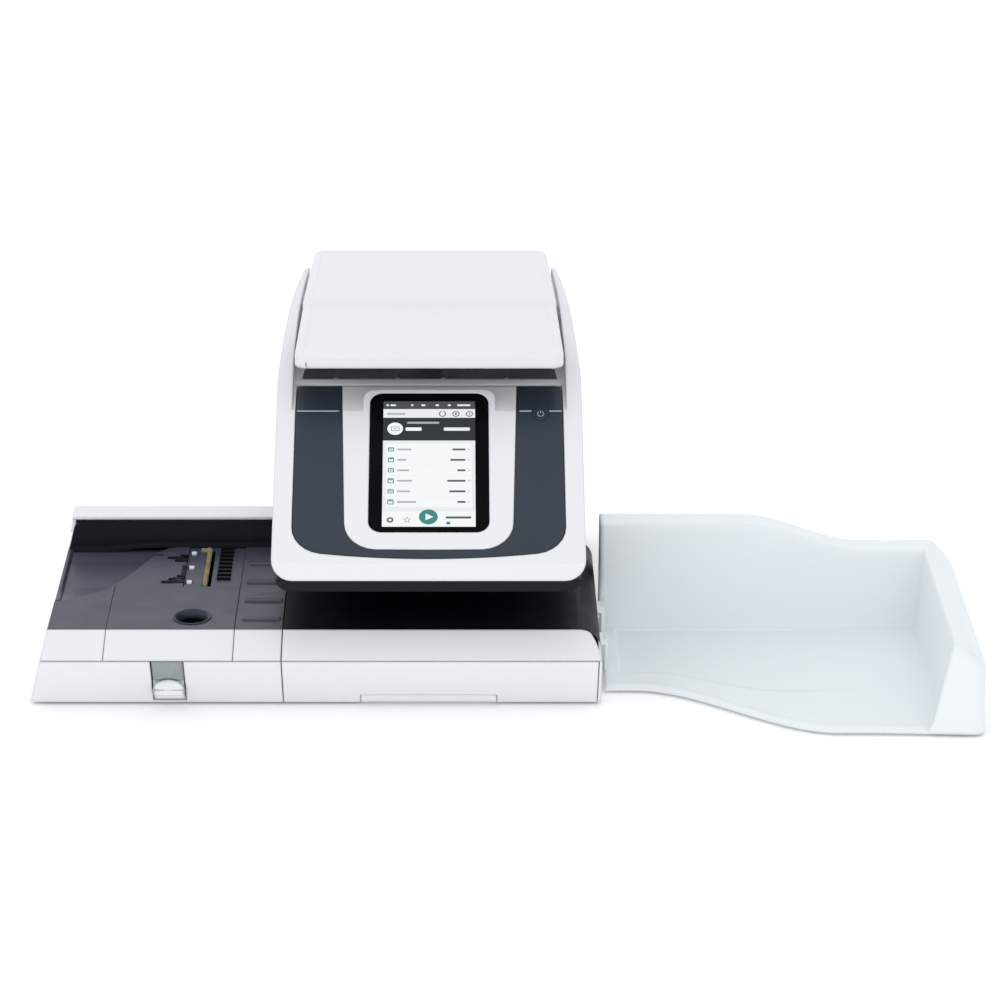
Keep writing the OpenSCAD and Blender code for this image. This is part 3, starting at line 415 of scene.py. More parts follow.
# flat faces in layers: every sign is an outline in the plane of the glass, lifted by its layer
def makeScreenPicture(p):
    shapes = []  # outline, layer, ink

    def bar(u, v, width, height, ink, layer, radius=None):
        corner = min(width, height) * 0.3 if radius is None else radius
        shapes.append((barOutline(u, v, width, height, corner), layer, ink))

    def disc(u, v, radius, ink, layer):
        shapes.append((discOutline(u, v, radius), layer, ink))

    def star(u, outer, inner, points, ink, layer):
        shapes.append((starOutline(u, p["signV"], outer, inner, points), layer, ink))

    def corners(places, ink, layer):
        u, v = np.array(places, float).T
        shapes.append(((u, v), layer, ink))

    # fields behind the signs
    bar(0, -p["below"] / 2, p["width"], p["height"] + p["below"], "paper", 0, 0.4)
    bar(0, p["statusV"], p["width"], 9.8, "status", 1, 0.3)
    bar(0, p["titleV"], p["width"], 9.9, "paper", 1, 0.3)
    bar(0, p["accountV"], p["width"], 28.8, "slate", 1, 0.3)
    bar(0, p["listV"], p["listWidth"], 79.0, "white", 1, 0.8)
    bar(0, p["footV"], p["width"], 18.6, "white", 1, 0.3)

    # status marks, title bar and its three round signs
    for u, width in p["statusMarks"]:
        bar(u, p["statusV"], width, 2.2, "paper", 2)
    bar(-33, p["titleV"], 18, 2.4, "faint", 2)
    for u in p["ringsU"]:
        disc(u, p["titleV"], 3.6, "ink", 2)
        disc(u, p["titleV"], 2.6, "paper", 3)
    openRing, dotRing, barRing = p["ringsU"]
    bar(openRing, p["titleV"] + 2.3, 2.0, 1.8, "paper", 4)
    disc(dotRing, p["titleV"], 1.2, "ink", 4)
    bar(barRing, p["titleV"], 0.9, 3.0, "ink", 4)

    # envelope sign in a disc, with the account bars beside it
    u, v = p["letterU"], p["letterV"]
    disc(u, v, 7.8, "white", 2)
    bar(u, v, 8.4, 5.4, "ink", 3, 0.6)
    bar(u, v, 7.2, 4.2, "white", 4, 0.3)
    corners([(u - 3.4, v + 1.8), (u, v - 0.9), (u + 3.4, v + 1.8), (u, v - 0.1)], "ink", 5)
    bar(-6, p["accountV"] + 8, 32, 2.4, "faint", 2)
    bar(-15.5, p["accountV"], 16, 4.2, "white", 2)
    bar(27.5, p["accountV"], 26, 4.2, "paper", 2)

    # list rows: box sign, label bar, value bar, chevron and a hairline under each
    for row, (label, value) in enumerate(zip(p["labelWidths"], p["valueWidths"])):
        v = p["rowTop"] - row * p["rowPitch"]
        boxHeight, paneHeight, markUp = (6.2, 3.6, 0.9) if row % 2 else (5.2, 2.8, -0.5)
        bar(p["boxU"], v, 6.2, boxHeight, "teal", 2, 1.0)
        bar(p["boxU"], v - 0.3, 4.2, paneHeight, "white", 3, 0.5)
        bar(p["boxU"], v + markUp, 2.4, 0.8, "teal", 4)
        bar(p["labelU"] + label / 2, v, label, 2.2, "faint", 2)
        bar(p["valueU"] - value / 2, v, value, 2.4, "ink", 2)
        u = p["chevronU"]
        corners([(u, v + 1.9), (u + 1.8, v), (u, v - 1.9), (u + 0.9, v)], "ink", 2)
        bar(0, v - p["rowPitch"] / 2, 80, 0.35, "paper", 2, 0.1)

    # foot of the picture: gear, star, round play sign and two bars
    star(p["gearU"], 3.8, 3.0, 8, "ink", 2)
    disc(p["gearU"], p["signV"], 1.5, "white", 3)
    star(p["starU"], 4.2, 1.8, 5, "ink", 2)
    star(p["starU"], 3.1, 1.3, 5, "white", 3)
    u, v = p["playU"], p["playV"]
    disc(u, v, 9.2, "teal", 3)
    corners([(u - 2.8, v + 4.2), (u - 2.8, v - 4.2), (u + 4.8, v)], "white", 4)
    bar(29.0, -68.6, 25, 2.6, "ink", 2)
    bar(19.0, -75.4, 4.0, 3.4, "teal", 2)

    points, faces, colours = [], [], []
    start = 0
    for (across, up), layer, ink in shapes:
        points.append(onFace(across / 1000, up / 1000, p["sunk"] + p["layerLift"] * layer))
        faces.append(list(range(start, start + len(across))))
        colours.append((*p["inks"][ink], 1))
        start += len(across)
    return meshPiece("screenPicture", "front_cover", np.concatenate(points), faces, pictureFinish,
                     False, colours)


makeScreenPicture(screenPicture)
print("screen picture made")


# machine millimetres (head middle, head front, table) to the frame's metres
def place(x, y, z):
    x, y, z = np.broadcast_arrays(np.asarray(x, float), np.asarray(y, float), np.asarray(z, float))
    return np.stack([x / 1000 + headMiddle, y / 1000 + headFront, z / 1000], -1)


# wall of one thickness behind a skin
def solidSkin(piece, thickness):
    wall = piece.modifiers.new("wall", "SOLIDIFY")
    wall.thickness = thickness
    wall.offset = -1
    wall.use_even_offset = False
    return piece


# sine and versed sine of a quarter turn, from a first fraction of it to its end
def quarterSine(first, steps):
    return np.sin(np.linspace(first, 1, steps) * math.pi / 2)


def quarterVersine(first, steps):
    return 1 - np.cos(np.linspace(first, 1, steps) * math.pi / 2)


# how far a rounded corner has drawn in, at a depth into it
def cornerInset(depth, radius):
    return radius - np.sqrt(np.maximum(radius ** 2 - np.clip(depth, 0, radius) ** 2, 0))


catchTray = {
    "left": 173.3, "innerWall": 497.0, "wallTop": 504.0, "outerTurn": 527.0, "right": 533.5,  # along X
    "floor": 5.2, "rightRim": 88.5, "outerRim": 68.0, "foot": 3.4, "lowest": 2.9,  # heights
    "rearWall": 171.5, "floorGap": 3.0, "wallRun": 6.5, "back": 209.0,  # along Y
    "rearRim": 117.0, "rimDrop": 29.0, "rimFallFrom": 318, "rimFallTo": 440, "rimDish": 0.8, "rimEdge": 1.6,
    "frontLip": 18.5, "lipSweep": 98, "sweepFrom": 203, "sweepTo": 394,
    "lipTail": 4, "tailFrom": 420, "tailTo": 534,
    "frontRound": 9, "backRound": 28, "wallBulge": 13, "bulgeDepth": 17,
    "panelDepth": 2.3, "panelLeft": 188, "panelFront": 57, "panelSweep": 44,
    "panelSweepFrom": 215, "panelSweepTo": 345, "panelFadeFrom": 330, "panelFadeTo": 470,
    "floorFrom": 36, "thickness": 0.0024,
}


# front lip over X: two eased falls, drawn in round the front right corner
def trayFront(t, xs):
    front = t["frontLip"] - t["lipSweep"] * easeStep(xs, t["sweepFrom"], t["sweepTo"])
    front = front - t["lipTail"] * easeStep(xs, t["tailFrom"], t["tailTo"])
    return front + cornerInset(xs - (t["right"] - t["frontRound"]), t["frontRound"])


# sunk panel in the floor: one inside its eased edges, nought outside
def trayPanel(t, xs, y, floorBack):
    start = t["panelFront"] - t["panelSweep"] * easeStep(xs, t["panelSweepFrom"], t["panelSweepTo"])
    inside = easeStep(xs, t["panelLeft"], t["panelLeft"] + 2.5) * easeStep(y, start, start + 3.5)
    inside = inside * (1 - easeStep(xs, t["panelFadeFrom"], t["panelFadeTo"]))
    return inside * (1 - easeStep(y, floorBack - 5, floorBack - 1))


# two profiles crossed: one across the tray (floor, right wall, rim, outer side) and one from the front lip
# to the outer rear side; the height is the higher of the two inner walls, cut by the lower of the falls
def makeCatchTray(t):
    outerSteps = 5
    xs = np.concatenate([
        np.linspace(t["left"], 186, 4), np.linspace(187, 193, 7), np.linspace(197, 484, 60),
        np.linspace(486, t["innerWall"], 8), np.linspace(497.8, t["wallTop"], 10),
        np.linspace(505, t["outerTurn"], 14),
        t["outerTurn"] + (t["right"] - t["outerTurn"]) * quarterSine(0.12, 9),
        np.full(outerSteps, t["right"])])
    outside = np.concatenate([np.zeros(len(xs) - outerSteps), np.linspace(0.25, 1, outerSteps)])
    beyondWall = np.clip((xs - t["wallTop"]) / (t["right"] - t["wallTop"]), 0, 1)
    slopeX = t["rightRim"] - (t["rightRim"] - t["outerRim"]) * beyondWall ** 1.7
    fallX = np.where(xs < t["wallTop"], 400.0, slopeX * (1 - outside) + t["foot"] * outside)
    back = t["back"] - cornerInset(xs - (t["right"] - t["backRound"]), t["backRound"])
    front = trayFront(t, xs)
    rimZ = t["rearRim"] - t["rimDrop"] * easeStep(xs, t["rimFallFrom"], t["rimFallTo"])
    floorBack = t["rearWall"] - t["floorGap"]

    rows = []  # kind, Y, height along this row
    lipDepths = np.array([0, 0.15, 0.6, 1.4, 2.6, 4.2, 6.5, 9.5, 13, 17, 21, 25, 30, t["floorFrom"]])
    for d in lipDepths:
        crown = 2.2 * math.exp(-((d - 8) / 5.5) ** 2) - 3.0 * math.exp(-(d / 2.2) ** 2)
        rows.append(("lip", front + d, np.full_like(xs, t["floor"] + crown)))
    for s in np.concatenate([np.linspace(0, 0.9, 52)[1:], np.linspace(0.91, 1, 16)]):
        y = front + t["floorFrom"] + s * (floorBack - front - t["floorFrom"])
        rows.append(("floor", y, np.full_like(xs, t["floor"])))
    for s in np.linspace(0, 1, 12)[1:]:
        rise = (rimZ - t["floor"]) * easeStep(s, 0, 1) ** 0.9
        rows.append(("wall", floorBack + s * t["wallRun"] + 0 * xs, t["floor"] + rise))
    rimY = floorBack + t["wallRun"]
    for s in np.linspace(0, 1, 14)[1:]:
        rows.append(("rim", rimY + s * (back - rimY), rimZ - t["rimDish"] * s - t["rimEdge"] * s ** 9))
    outerTop = rimZ - t["rimDish"] - t["rimEdge"]
    for s in np.linspace(0, 1, 7)[1:]:
        rows.append(("outer", back, outerTop * (1 - s) + t["foot"] * s))

    points = []
    for kind, y, rise in rows:
        if kind == "outer":
            z = np.minimum(rise, np.maximum(fallX, t["foot"]))
        elif kind == "rim":
            z = np.minimum(rise, fallX)
        else:
            bulge = t["wallBulge"] * np.exp(-(np.clip(y - front, 0, 60) / t["bulgeDepth"]) ** 2)
            climb = easeStep(xs, t["innerWall"] - 3 - bulge, t["wallTop"] - 0.5 - bulge * 0.5) ** 0.9
            wallX = t["floor"] + (t["rightRim"] - t["floor"]) * climb
            z = softMax(wallX, rise, 2.4) - 0.6 - t["panelDepth"] * trayPanel(t, xs, y, floorBack)
            z = np.minimum(z, fallX)
        if kind == "lip":
            frontFall = 2.6 + 90 * np.clip((y - front) / 20, 0, 1) ** 0.62
            z = softMin(z, frontFall, 1.5)
        points.append(place(xs, y, np.maximum(z, t["lowest"])))
    tray = meshPiece("catchTrayShell", "catch_tray", np.concatenate(points),
                     gridFaces(len(rows), len(xs), flip=True), finishes["tray_plastic"])
    solidSkin(tray, t["thickness"])
    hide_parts("catch_tray")
    return tray


makeCatchTray(catchTray)


scalePlatform = {
    "front": 158.0, "back": 427.6, "halfFront": 134.0, "halfBack": 122.0,
    "frontCorner": 12.0, "rearCorner": 16.0, "frontRound": 14, "rearRound": 18,
    "frontSkirt": 290.0, "rearSkirt": 306.0,  # heights of the skirt's lower edge
    "lipTop": 302.6, "frontRise": 0.152, "rearRise": 0.0245, "highest": 329.3,
    "step": 269.0, "stepHeight": 6.2, "stepBlend": 2.2,
    "borderDepth": 1.0, "borderFrom": 8.3, "borderTo": 10.3, "shoulder": 17, "thickness": 0.0026,
}


# top skin: profile from lip to rear edge along Y, carried across with its half width narrowing to the rear
# and drawn in round the corners as quarter circles; outer columns fall as a rounded skirt
def makePlatform(p):
    length = p["back"] - p["front"]
    skirtRows, frontRows, rearRows = 6, 12, 14
    y = np.concatenate([
        np.zeros(skirtRows), p["frontRound"] * quarterVersine(0.1, frontRows), np.linspace(16, 104, 24),
        np.linspace(105, 117, 30), np.linspace(120, length - 20, 26),
        length - p["rearRound"] * (1 - quarterSine(0.06, rearRows)), np.full(skirtRows, length)])
    frontDrop = np.concatenate([
        np.linspace(1, 0.16, skirtRows), 0.16 * (1 - quarterSine(0.1, frontRows)),
        np.zeros(len(y) - skirtRows - frontRows)])
    rearDrop = np.concatenate([
        np.zeros(len(y) - skirtRows - rearRows), 0.1 * quarterVersine(0.06, rearRows),
        np.linspace(0.1, 1, skirtRows)])
    behindStep = np.maximum(y - (p["step"] - p["front"]), 0)
    top = p["lipTop"] + (y - behindStep) * p["frontRise"] + behindStep * p["rearRise"]
    stepAt = p["front"] + y - p["step"]
    top = top + p["stepHeight"] * easeStep(stepAt, -p["stepBlend"], p["stepBlend"])
    top = np.minimum(top, p["highest"])
    skirt = p["frontSkirt"] + (p["rearSkirt"] - p["frontSkirt"]) * y / length
    half = p["halfFront"] + (p["halfBack"] - p["halfFront"]) * y / length
    half = half - cornerInset(p["frontCorner"] - y, p["frontCorner"])
    half = half - cornerInset(p["rearCorner"] - (length - y), p["rearCorner"])

    inset = np.array([0, 0, 0, 0, 0.15, 0.5, 1.1, 2.0, 3.2, 5.0, 7.2, 8.4, 9.0, 9.6, 10.2, 11.2, 13,
                      p["shoulder"]])
    skirtDrop = np.array([1, 0.75, 0.5, 0.3, 0.17, 0.11, 0.07, 0.04, 0.02, 0.008, 0, 0, 0, 0, 0, 0, 0, 0])
    middleColumns = 20
    side = half[:, None] - inset[None, :]
    middle = (half[:, None] - p["shoulder"]) * np.linspace(1, -1, middleColumns + 2)[None, 1:-1]
    across = np.concatenate([-side, -middle, side[:, ::-1]], 1)
    drop = np.concatenate([skirtDrop, np.zeros(middleColumns), skirtDrop[::-1]])
    edge = easeStep(inset, p["borderFrom"], p["borderTo"])
    border = np.concatenate([edge, np.ones(middleColumns), edge[::-1]])
    allDrop = np.maximum(np.maximum(frontDrop, rearDrop)[:, None], drop[None, :])
    borderY = easeStep(y, 15, 18) * (1 - easeStep(y, length - 13, length - 9))
    z = top[:, None] - (top - skirt)[:, None] * allDrop
    z = z - p["borderDepth"] * border[None, :] * borderY[:, None]
    depth = np.broadcast_to(p["front"] + y[:, None], across.shape)
    faces = gridFaces(len(y), across.shape[1], flip=True)
    platform = meshPiece("scalePlatform", "weighing_platform", place(across, depth, z).reshape(-1, 3), faces,
                         finishes["white_shell"])
    solidSkin(platform, p["thickness"])
    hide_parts("weighing_platform")
    return platform


makePlatform(scalePlatform)

wellShadeSheet = {
    "halfFront": 129.0, "halfBack": 112.0, "front": 223.4, "back": 424.0, "height": 255.9, "rise": 0.0578,
    "ribs": (-95.0, -32.0, 14.0, 78.0), "ribHeight": 1.5, "ribHalf": 1.6,
    "postAt": 315, "postRadius": 13, "rows": 30, "columns": 141,
}


# black sheet on the floor of the well under the platform, painted shade standing in for the shadow under the
# platform's lip: a rising plane, with low ribs that run rearwards and a dip round the load cell's post
def makeWellShadeSheet(w):
    u = np.linspace(-1, 1, w["columns"])
    v = np.linspace(0, 1, w["rows"])
    half = w["halfFront"] + (w["halfBack"] - w["halfFront"]) * v
    x = half[:, None] * u[None, :]
    y = w["front"] + (w["back"] - w["front"]) * v[:, None] + 0 * x
    z = w["height"] + (y - 220) * w["rise"]
    for rib in w["ribs"]:
        z = z + w["ribHeight"] * np.exp(-((x - rib) / w["ribHalf"]) ** 4)
    z = np.where(np.hypot(x, y - w["postAt"]) < w["postRadius"], z - 1.0, z)
    faces = gridFaces(w["rows"], w["columns"], flip=True)
    return meshPiece("scaleWellShadeSheet", "machine", place(x, y, z).reshape(-1, 3), faces,
                     finishes["black_plastic"])


makeWellShadeSheet(wellShadeSheet)
print("tray, platform and well liner made")


creaseHighlight = {"upFace": 186.2, "width": 1.1, "height": 0.35, "rows": 30, "columns": 9}
creaseHighlightEnds = {
    "bandHighlightLeft": (-132.0, -90.0),
    "bandHighlightRightInner": (90.0, 102.2),
    "bandHighlightRightOuter": (119.8, 132.0),
}


# painted highlight: pale strip of half-round section along a row of face points, standing in for the light
# caught along the band's crease: u positions with one crown
def makeCreaseHighlight(name, uStart, uEnd, c):
    u = np.linspace(uStart, uEnd, c["rows"])
    turn = np.linspace(0, math.pi, c["columns"])
    v = c["upFace"] - facePlane["glassMiddle"] * 1000 + c["width"] / 2 * np.cos(turn)
    w = c["height"] * np.sin(turn)
    uu, vv = np.meshgrid(u, v, indexing="ij")
    ww = np.broadcast_to(w[None, :], uu.shape)
    points = onFace(uu / 1000, vv / 1000, ww / 1000).reshape(-1, 3)
    line = meshPiece(name, "front_cover", points, gridFaces(c["rows"], c["columns"], flip=True),
                     finishes["printInkAndHighlight"])
    return solidSkin(line, 0.0003)


for lineName, (lineStart, lineEnd) in creaseHighlightEnds.items():
    makeCreaseHighlight(lineName, lineStart, lineEnd, creaseHighlight)


powerMark = {
    "u": 111.0, "v": 59.9, "radius": 3.0, "stroke": 0.5, "from": 125, "to": 415,
    "barFoot": 1.0, "barTop": 4.2, "sunk": 0.00062, "crown": 0.00008, "barLift": 0.00068,
}


# printed mark: an open ring as a narrow band with a raised middle, and a short upright bar
def makePowerMark(p):
    steps = 40
    turn = np.linspace(math.radians(p["from"]), math.radians(p["to"]), steps)
    rows = []
    for offset, crown in ((-0.5, 0), (-0.3, 1), (0.3, 1), (0.5, 0)):
        radius = p["radius"] + offset * p["stroke"]
        u = p["u"] + radius * np.cos(turn)
        v = p["v"] + radius * np.sin(turn)
        rows.append(onFace(u / 1000, v / 1000, np.full(steps, p["sunk"] + crown * p["crown"])))
    faces = gridFaces(4, steps)
    half = p["stroke"] / 2
    barU = p["u"] + np.array([-half, half, half, -half])
    barV = p["v"] + np.array([p["barFoot"], p["barFoot"], p["barTop"], p["barTop"]])
    rows.append(onFace(barU / 1000, barV / 1000, p["barLift"]))
    faces.append([4 * steps, 4 * steps + 1, 4 * steps + 2, 4 * steps + 3])
    return meshPiece("powerMark", "power_button", np.concatenate(rows), faces, finishes["printInkAndHighlight"],
                     False)


makePowerMark(powerMark)


fingerCollar = {
    "x": -232.2, "y": 30.6, "brim": 76.75, "sides": 96,
    "radius": (18.8, 18.5, 17.9, 17.0, 15.8, 14.8, 14.2, 13.9, 13.9),
    "lift": (0.05, 0.5, 0.6, 0.3, -1.2, -2.6, -4.2, -6.0, -7.6),
}


# dished collar: profile revolved about the finger hole's axis, from a flat brim down into the hole
def makeFingerCollar(c):
    turn = np.linspace(0, 2 * math.pi, c["sides"] + 1)[:-1]
    radius = np.array(c["radius"])
    x = c["x"] + radius[None, :] * np.cos(turn)[:, None]
    y = c["y"] + radius[None, :] * np.sin(turn)[:, None]
    z = c["brim"] + np.array(c["lift"])[None, :] + 0 * x
    faces = gridFaces(c["sides"], len(radius), wrapRows=True, flip=True)
    collar = meshPiece("fingerCollar", "sealer_cover", place(x, y, z).reshape(-1, 3), faces,
                       finishes["slate_gloss"])
    return solidSkin(collar, 0.0005)


makeFingerCollar(fingerCollar)


feederWall = {
    "left": -389.0, "right": -143.0, "slant": 0.2344, "cornerRadius": 9.0, "top": 101.6,
    "foot": 216.0, "lean": 7.6, "coveRadius": 5.0, "deck": 76.8, "scoop": 5.2,
}


# rear wall of the feeder: cove from the deck, then the leaning wall, as one profile in Y and Z carried
# along X; its left end follows the slanted cheek and its top left corner is a quarter circle
def makeFeederWall(f):
    along = np.concatenate([1 - np.cos(np.linspace(0, 1, 16) * math.pi / 2), np.linspace(1.0, 30, 50)[1:]])
    along = along / along[-1]
    turn = np.linspace(0, math.pi / 2, 10)
    cove = f["coveRadius"]
    low = f["deck"] - f["scoop"] * (1 - easeStep(np.linspace(0, 1, len(along)), 0.3, 0.52))
    rise = np.linspace(0, 1, 22)[1:]
    y = np.concatenate([f["foot"] - cove * (1 - np.sin(turn)), f["foot"] + f["lean"] * rise ** 1.35])
    zLow = low[:, None] + 0.15 + cove * (1 - np.cos(turn))[None, :]
    intoCorner = f["cornerRadius"] - np.clip(along * 240, 0, f["cornerRadius"])
    top = f["top"] - cornerInset(intoCorner, f["cornerRadius"])
    coveTop = low + 0.15 + cove
    z = np.concatenate([zLow, coveTop[:, None] + (top - coveTop)[:, None] * rise[None, :]], 1)
    leftEdge = f["left"] + 1.2 + z * f["slant"]
    x = leftEdge + (f["right"] - leftEdge) * along[:, None]
    depth = np.broadcast_to(y[None, :], z.shape)
    # near-black slate copy: painted shade for the shadow the wall sits in
    wall = meshPiece("feederWallSkin", "machine", place(x, depth, z).reshape(-1, 3),
                     gridFaces(len(along), len(y)), finishes["deep"])
    solidSkin(wall, 0.0012)
    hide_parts("feeder_wall")
    return wall


makeFeederWall(feederWall)


scoopRim = {
    "front": 71, "back": 215.6, "rows": 60, "deckTop": 76.85, "ledge": 73.75,
    "floorAt": (70, 90, 120, 190, 216), "floor": (76.7, 73.2, 69.7, 68.7, 71.7),  # floor's height along Y
    "across": (0, 0, 0.5, 1.4, 2.6, 3.3, 3.9, 4.5, 5.2, 6.2),
}


# rim of the scooped floor along the left cheek: a flat ledge on the cheek, then a cove down to the floor
def makeScoopRim(s, f):
    y = np.linspace(s["front"], s["back"], s["rows"])
    floor = np.interp(y, s["floorAt"], s["floor"]) + 0.2
    ledge = np.maximum(s["ledge"], s["deckTop"] - 3.1 * easeStep(y, 70, 96))
    across = np.array(s["across"])
    drop = easeStep(across, 2.8, 5.6)
    z = ledge[:, None] * (1 - drop) + floor[:, None] * drop
    z[:, 0] -= 1.2  # outer edge turned down
    x = f["left"] + 0.35 + z * f["slant"] + across[None, :]
    rim = meshPiece("scoopRim", "machine", place(x, y[:, None] + 0 * x, z).reshape(-1, 3),
                    gridFaces(len(y), len(across), flip=True), finishes["deck_slate"])
    return solidSkin(rim, 0.0004)


makeScoopRim(scoopRim, feederWall)


flapFingers = {
    "root": -246.2, "top": 77.5, "bend": 0.5, "depth": 1.0,
    "fingers": (  # middle in Y, reach to the left, width
        (119, 23, 3.2), (126, 16, 3.0), (134, 8, 3.0), (124.5, 12, 8.5), (148, 4, 26),
        (182, 21, 3.2), (174, 13, 2.8), (187, 8, 3.0), (179.5, 12, 9.0)),
}


# small sprung fingers beside the flap unit: strips with an eased bend, a closed section carried along each
def makeFlapFingers(f):
    points, faces = [], []
    s = np.linspace(0, 1, 8)
    sectionY = np.array([-1, -1, 1, 1, -1]) / 2
    sectionZ = np.array([-1, 0, 0, -1, -1]) * f["depth"]
    for start, (middle, reach, width) in enumerate(f["fingers"]):
        x = np.repeat((f["root"] - reach * s)[:, None], len(sectionY), 1)
        y = middle + width * sectionY[None, :] + 0 * x
        z = f["top"] + f["bend"] * easeStep(s, 0.4, 0.5)[:, None] + sectionZ[None, :]
        points.append(place(x, y, z).reshape(-1, 3))
        quads = np.array(gridFaces(len(s), len(sectionY), flip=True)) + start * x.size
        faces.extend(quads.tolist())
    return meshPiece("flapFingers", "sealer_cover", np.concatenate(points), faces, finishes["deep"],
                     False)


makeFlapFingers(flapFingers)


sealerBrush = {
    "seed": 7, "longCount": 900, "shortCount": 170, "sides": 5, "radius": 0.42, "tipScale": 0.4, "foot": 71.0,
    "longY": (111.5, 204), "shortY": (200.6, 204.6), "longX": (-226.6, -223.4), "shortX": (-233.0, -223.4),
    "tips": (77.4, 79.2), "lean": 1.0,
}


# bristle: five-sided taper; all bristles are one array of base rings and tips, seeded so each run is the same
def makeBrush(b):
    rng = np.random.default_rng(b["seed"])
    longCount, shortCount = b["longCount"], b["shortCount"]
    along = np.concatenate([rng.uniform(*b["longY"], longCount), rng.uniform(*b["shortY"], shortCount)])
    across = np.concatenate([rng.uniform(*b["longX"], longCount), rng.uniform(*b["shortX"], shortCount)])
    count = longCount + shortCount
    lean = rng.uniform(-b["lean"], b["lean"], (count, 2))
    tip = rng.uniform(*b["tips"], count)
    turn = np.arange(b["sides"]) * 2 * math.pi / b["sides"]
    ringX = b["radius"] * np.cos(turn)[None, :]
    ringY = b["radius"] * np.sin(turn)[None, :]
    base = place(across[:, None] + ringX, along[:, None] + ringY, b["foot"])
    upper = place(across[:, None] + lean[:, :1] + ringX * b["tipScale"],
                  along[:, None] + lean[:, 1:] + ringY * b["tipScale"], tip[:, None])
    points = np.concatenate([base, upper], 1).reshape(-1, 3)
    k = np.arange(b["sides"])
    after = (k + 1) % b["sides"]
    first = 2 * b["sides"] * np.arange(count)[:, None]
    side = np.stack([k, after, b["sides"] + after, b["sides"] + k], -1)
    quads = (side[None] + first[:, None]).reshape(-1, 4).tolist()
    caps = (b["sides"] + k[None] + first).tolist()
    brush = meshPiece("brushBristles", "machine", points, quads + caps, finishes["brush_fibre"],
                      False)
    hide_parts("moistening_brush")
    return brush


makeBrush(sealerBrush)


waterBottle = {
    "middle": -252.6, "half": 15.1, "lean": 0.575,
    "pullFoot": 7.8, "archFoot": 23.6, "archRise": 11.8, "pullAhead": 8.6, "gripOut": 7.2,
    "frontFoot": 34.0, "frontTop": 60.0, "frontAhead": 8.3, "recess": 2.6, "edgeRoll": 3.0,
}


# pull of the water bottle: white plate with an arched top, lying on the slope and then stepping out
# over the grip
def makeBottlePull(b):
    u = np.linspace(-1, 1, 41)
    v = np.linspace(0, 1, 30)
    archTop = b["archFoot"] + b["archRise"] * np.sqrt(np.clip(1 - u ** 2, 0, 1))
    z = b["pullFoot"] + (archTop[None, :] - b["pullFoot"]) * v[:, None]
    x = b["middle"] + b["half"] * u[None, :] + 0 * z
    slope = -b["pullAhead"] - (z - 3) * b["lean"]
    grip = b["gripOut"] * easeStep(z, 14.0, 18.4) * (1 - (z - 18.4) / 14)
    y = np.minimum(slope, np.where(z > 15.0, slope - grip, slope))
    y = y + 0.7 * np.exp(-((z - b["archFoot"] + 0.2) / 0.45) ** 2)
    pull = meshPiece("bottlePull", "water_tank", place(x, y, z).reshape(-1, 3), gridFaces(len(v), len(u)),
                     finishes["white_shell"])
    return solidSkin(pull, 0.0004)


# clear front of the bottle above its pull: sheet that leans like the feeder's front, its upright edges
# rolled back
def makeBottleFront(b):
    u = np.linspace(-1, 1, 33)
    z = np.linspace(b["frontFoot"], b["frontTop"], 20)[:, None]
    y = -b["frontAhead"] - (z - 3) * b["lean"] + b["recess"]
    roll = b["edgeRoll"] * (1 - np.sqrt(np.clip(1 - (np.abs(u) - 0.8).clip(0) ** 2 * 25, 0, 1)))
    x = b["middle"] + b["half"] * u[None, :]
    front = meshPiece("bottleFront", "water_tank", place(x, y + roll[None, :], z).reshape(-1, 3),
                      gridFaces(len(z), len(u)), finishes["clear_bottle"])
    return solidSkin(front, 0.0012)


makeBottlePull(waterBottle)
makeBottleFront(waterBottle)
print("cover and feeder details made")


studio = {
    "floorColour": (0.97, 0.97, 0.97, 1), "floorGlow": 0.1,
    "airColour": (0.96, 0.98, 1.0, 1), "airStrength": 0.95,
    "halfWidth": 14.0, "near": -9, "bendAt": 6, "bendRadius": 4, "height": 16.0,
    "boxes": {  # place, aim, size, power
        "topSoftBox": ((0.0, 0.1, 2.6), (0, 0.05, 0), (3.0, 2.2), 5),
        "leftSoftBox": ((-2.4, -1.6, 1.7), (0, 0, 0.1), (1.6, 1.6), 6),
        "frontSoftBox": ((0.4, -3.4, 1.3), (0, 0, 0.1), (2.4, 1.2), 10),
    },
}


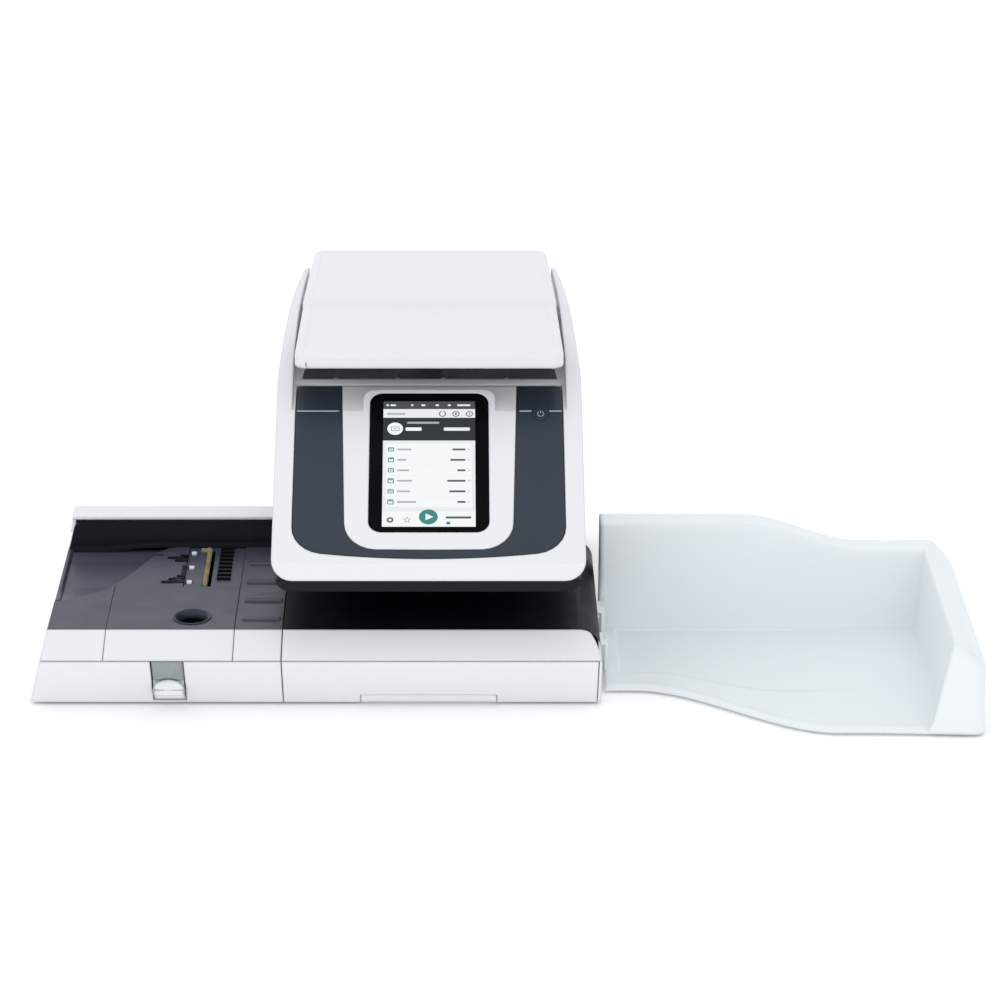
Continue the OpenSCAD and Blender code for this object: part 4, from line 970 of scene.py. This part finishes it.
# sweep: flat floor that curves up far behind the machine, as a profile carried across X
def makeStudioFloor(s):
    t = np.linspace(0, 1, 60) * math.pi / 2
    flat = np.linspace(s["near"], s["bendAt"], 20)
    depth = np.concatenate([flat, s["bendAt"] + s["bendRadius"] * np.sin(t), [s["bendAt"] + s["bendRadius"]]])
    height = np.concatenate([0 * flat, s["bendRadius"] * (1 - np.cos(t)), [s["height"]]])
    across = np.array([-s["halfWidth"], s["halfWidth"]])
    grid = np.stack(np.broadcast_arrays(across[None, :], depth[:, None], height[:, None]), -1).reshape(-1, 3)
    mesh = bpy.data.meshes.new("studioFloor")
    mesh.from_pydata(grid.tolist(), [], gridFaces(len(depth), 2, flip=True))
    mesh.polygons.foreach_set("use_smooth", np.ones(len(mesh.polygons), bool))
    floor = bpy.data.objects.new("studioFloor", mesh)
    bpy.context.scene.collection.objects.link(floor)
    finish = bpy.data.materials.new("paleFloor")
    finish.use_nodes = True
    shader = finish.node_tree.nodes["Principled BSDF"]
    shader.inputs["Base Color"].default_value = s["floorColour"]
    shader.inputs["Roughness"].default_value = 0.8
    shader.inputs["Specular IOR Level"].default_value = 0.1
    shader.inputs["Emission Color"].default_value = (1, 1, 1, 1)
    shader.inputs["Emission Strength"].default_value = s["floorGlow"]
    mesh.materials.append(finish)


def makeStudioAir(s):
    world = bpy.data.worlds.new("studioAir")
    bpy.context.scene.world = world
    world.use_nodes = True
    air = world.node_tree.nodes["Background"]
    air.inputs["Color"].default_value = s["airColour"]
    air.inputs["Strength"].default_value = s["airStrength"]


def makeSoftBox(name, spot, aim, size, power):
    light = bpy.data.lights.new(name, "AREA")
    light.shape = "RECTANGLE"
    light.size, light.size_y = size
    light.energy = power
    lamp = bpy.data.objects.new(name, light)
    lamp.location = spot
    way = np.array(aim, float) - np.array(spot, float)
    lamp.rotation_euler = (math.atan2(math.hypot(way[0], way[1]), -way[2]), 0, math.atan2(-way[0], way[1]))
    bpy.context.scene.collection.objects.link(lamp)


mainView = {"focal": 129.6, "sensor": 36, "shift": 0.05, "place": (-0.0523, -3.384, 1.4769), "pitch": 21.5}


def makeCamera(m):
    lens = bpy.data.cameras.new("mainLens")
    lens.lens = m["focal"]
    lens.sensor_width = m["sensor"]
    lens.shift_x = m["shift"]
    lens.clip_end = 100
    camera = bpy.data.objects.new("mainCamera", lens)
    camera.location = m["place"]
    camera.rotation_euler = (math.radians(90 - m["pitch"]), 0, 0)
    bpy.context.scene.collection.objects.link(camera)
    bpy.context.scene.camera = camera


makeStudioFloor(studio)
makeStudioAir(studio)
for boxName, boxValues in studio["boxes"].items():
    makeSoftBox(boxName, *boxValues)
makeCamera(mainView)
bpy.context.scene.view_settings.view_transform = "Standard"
print("studio and camera made")

bpy.context.view_layer.update()
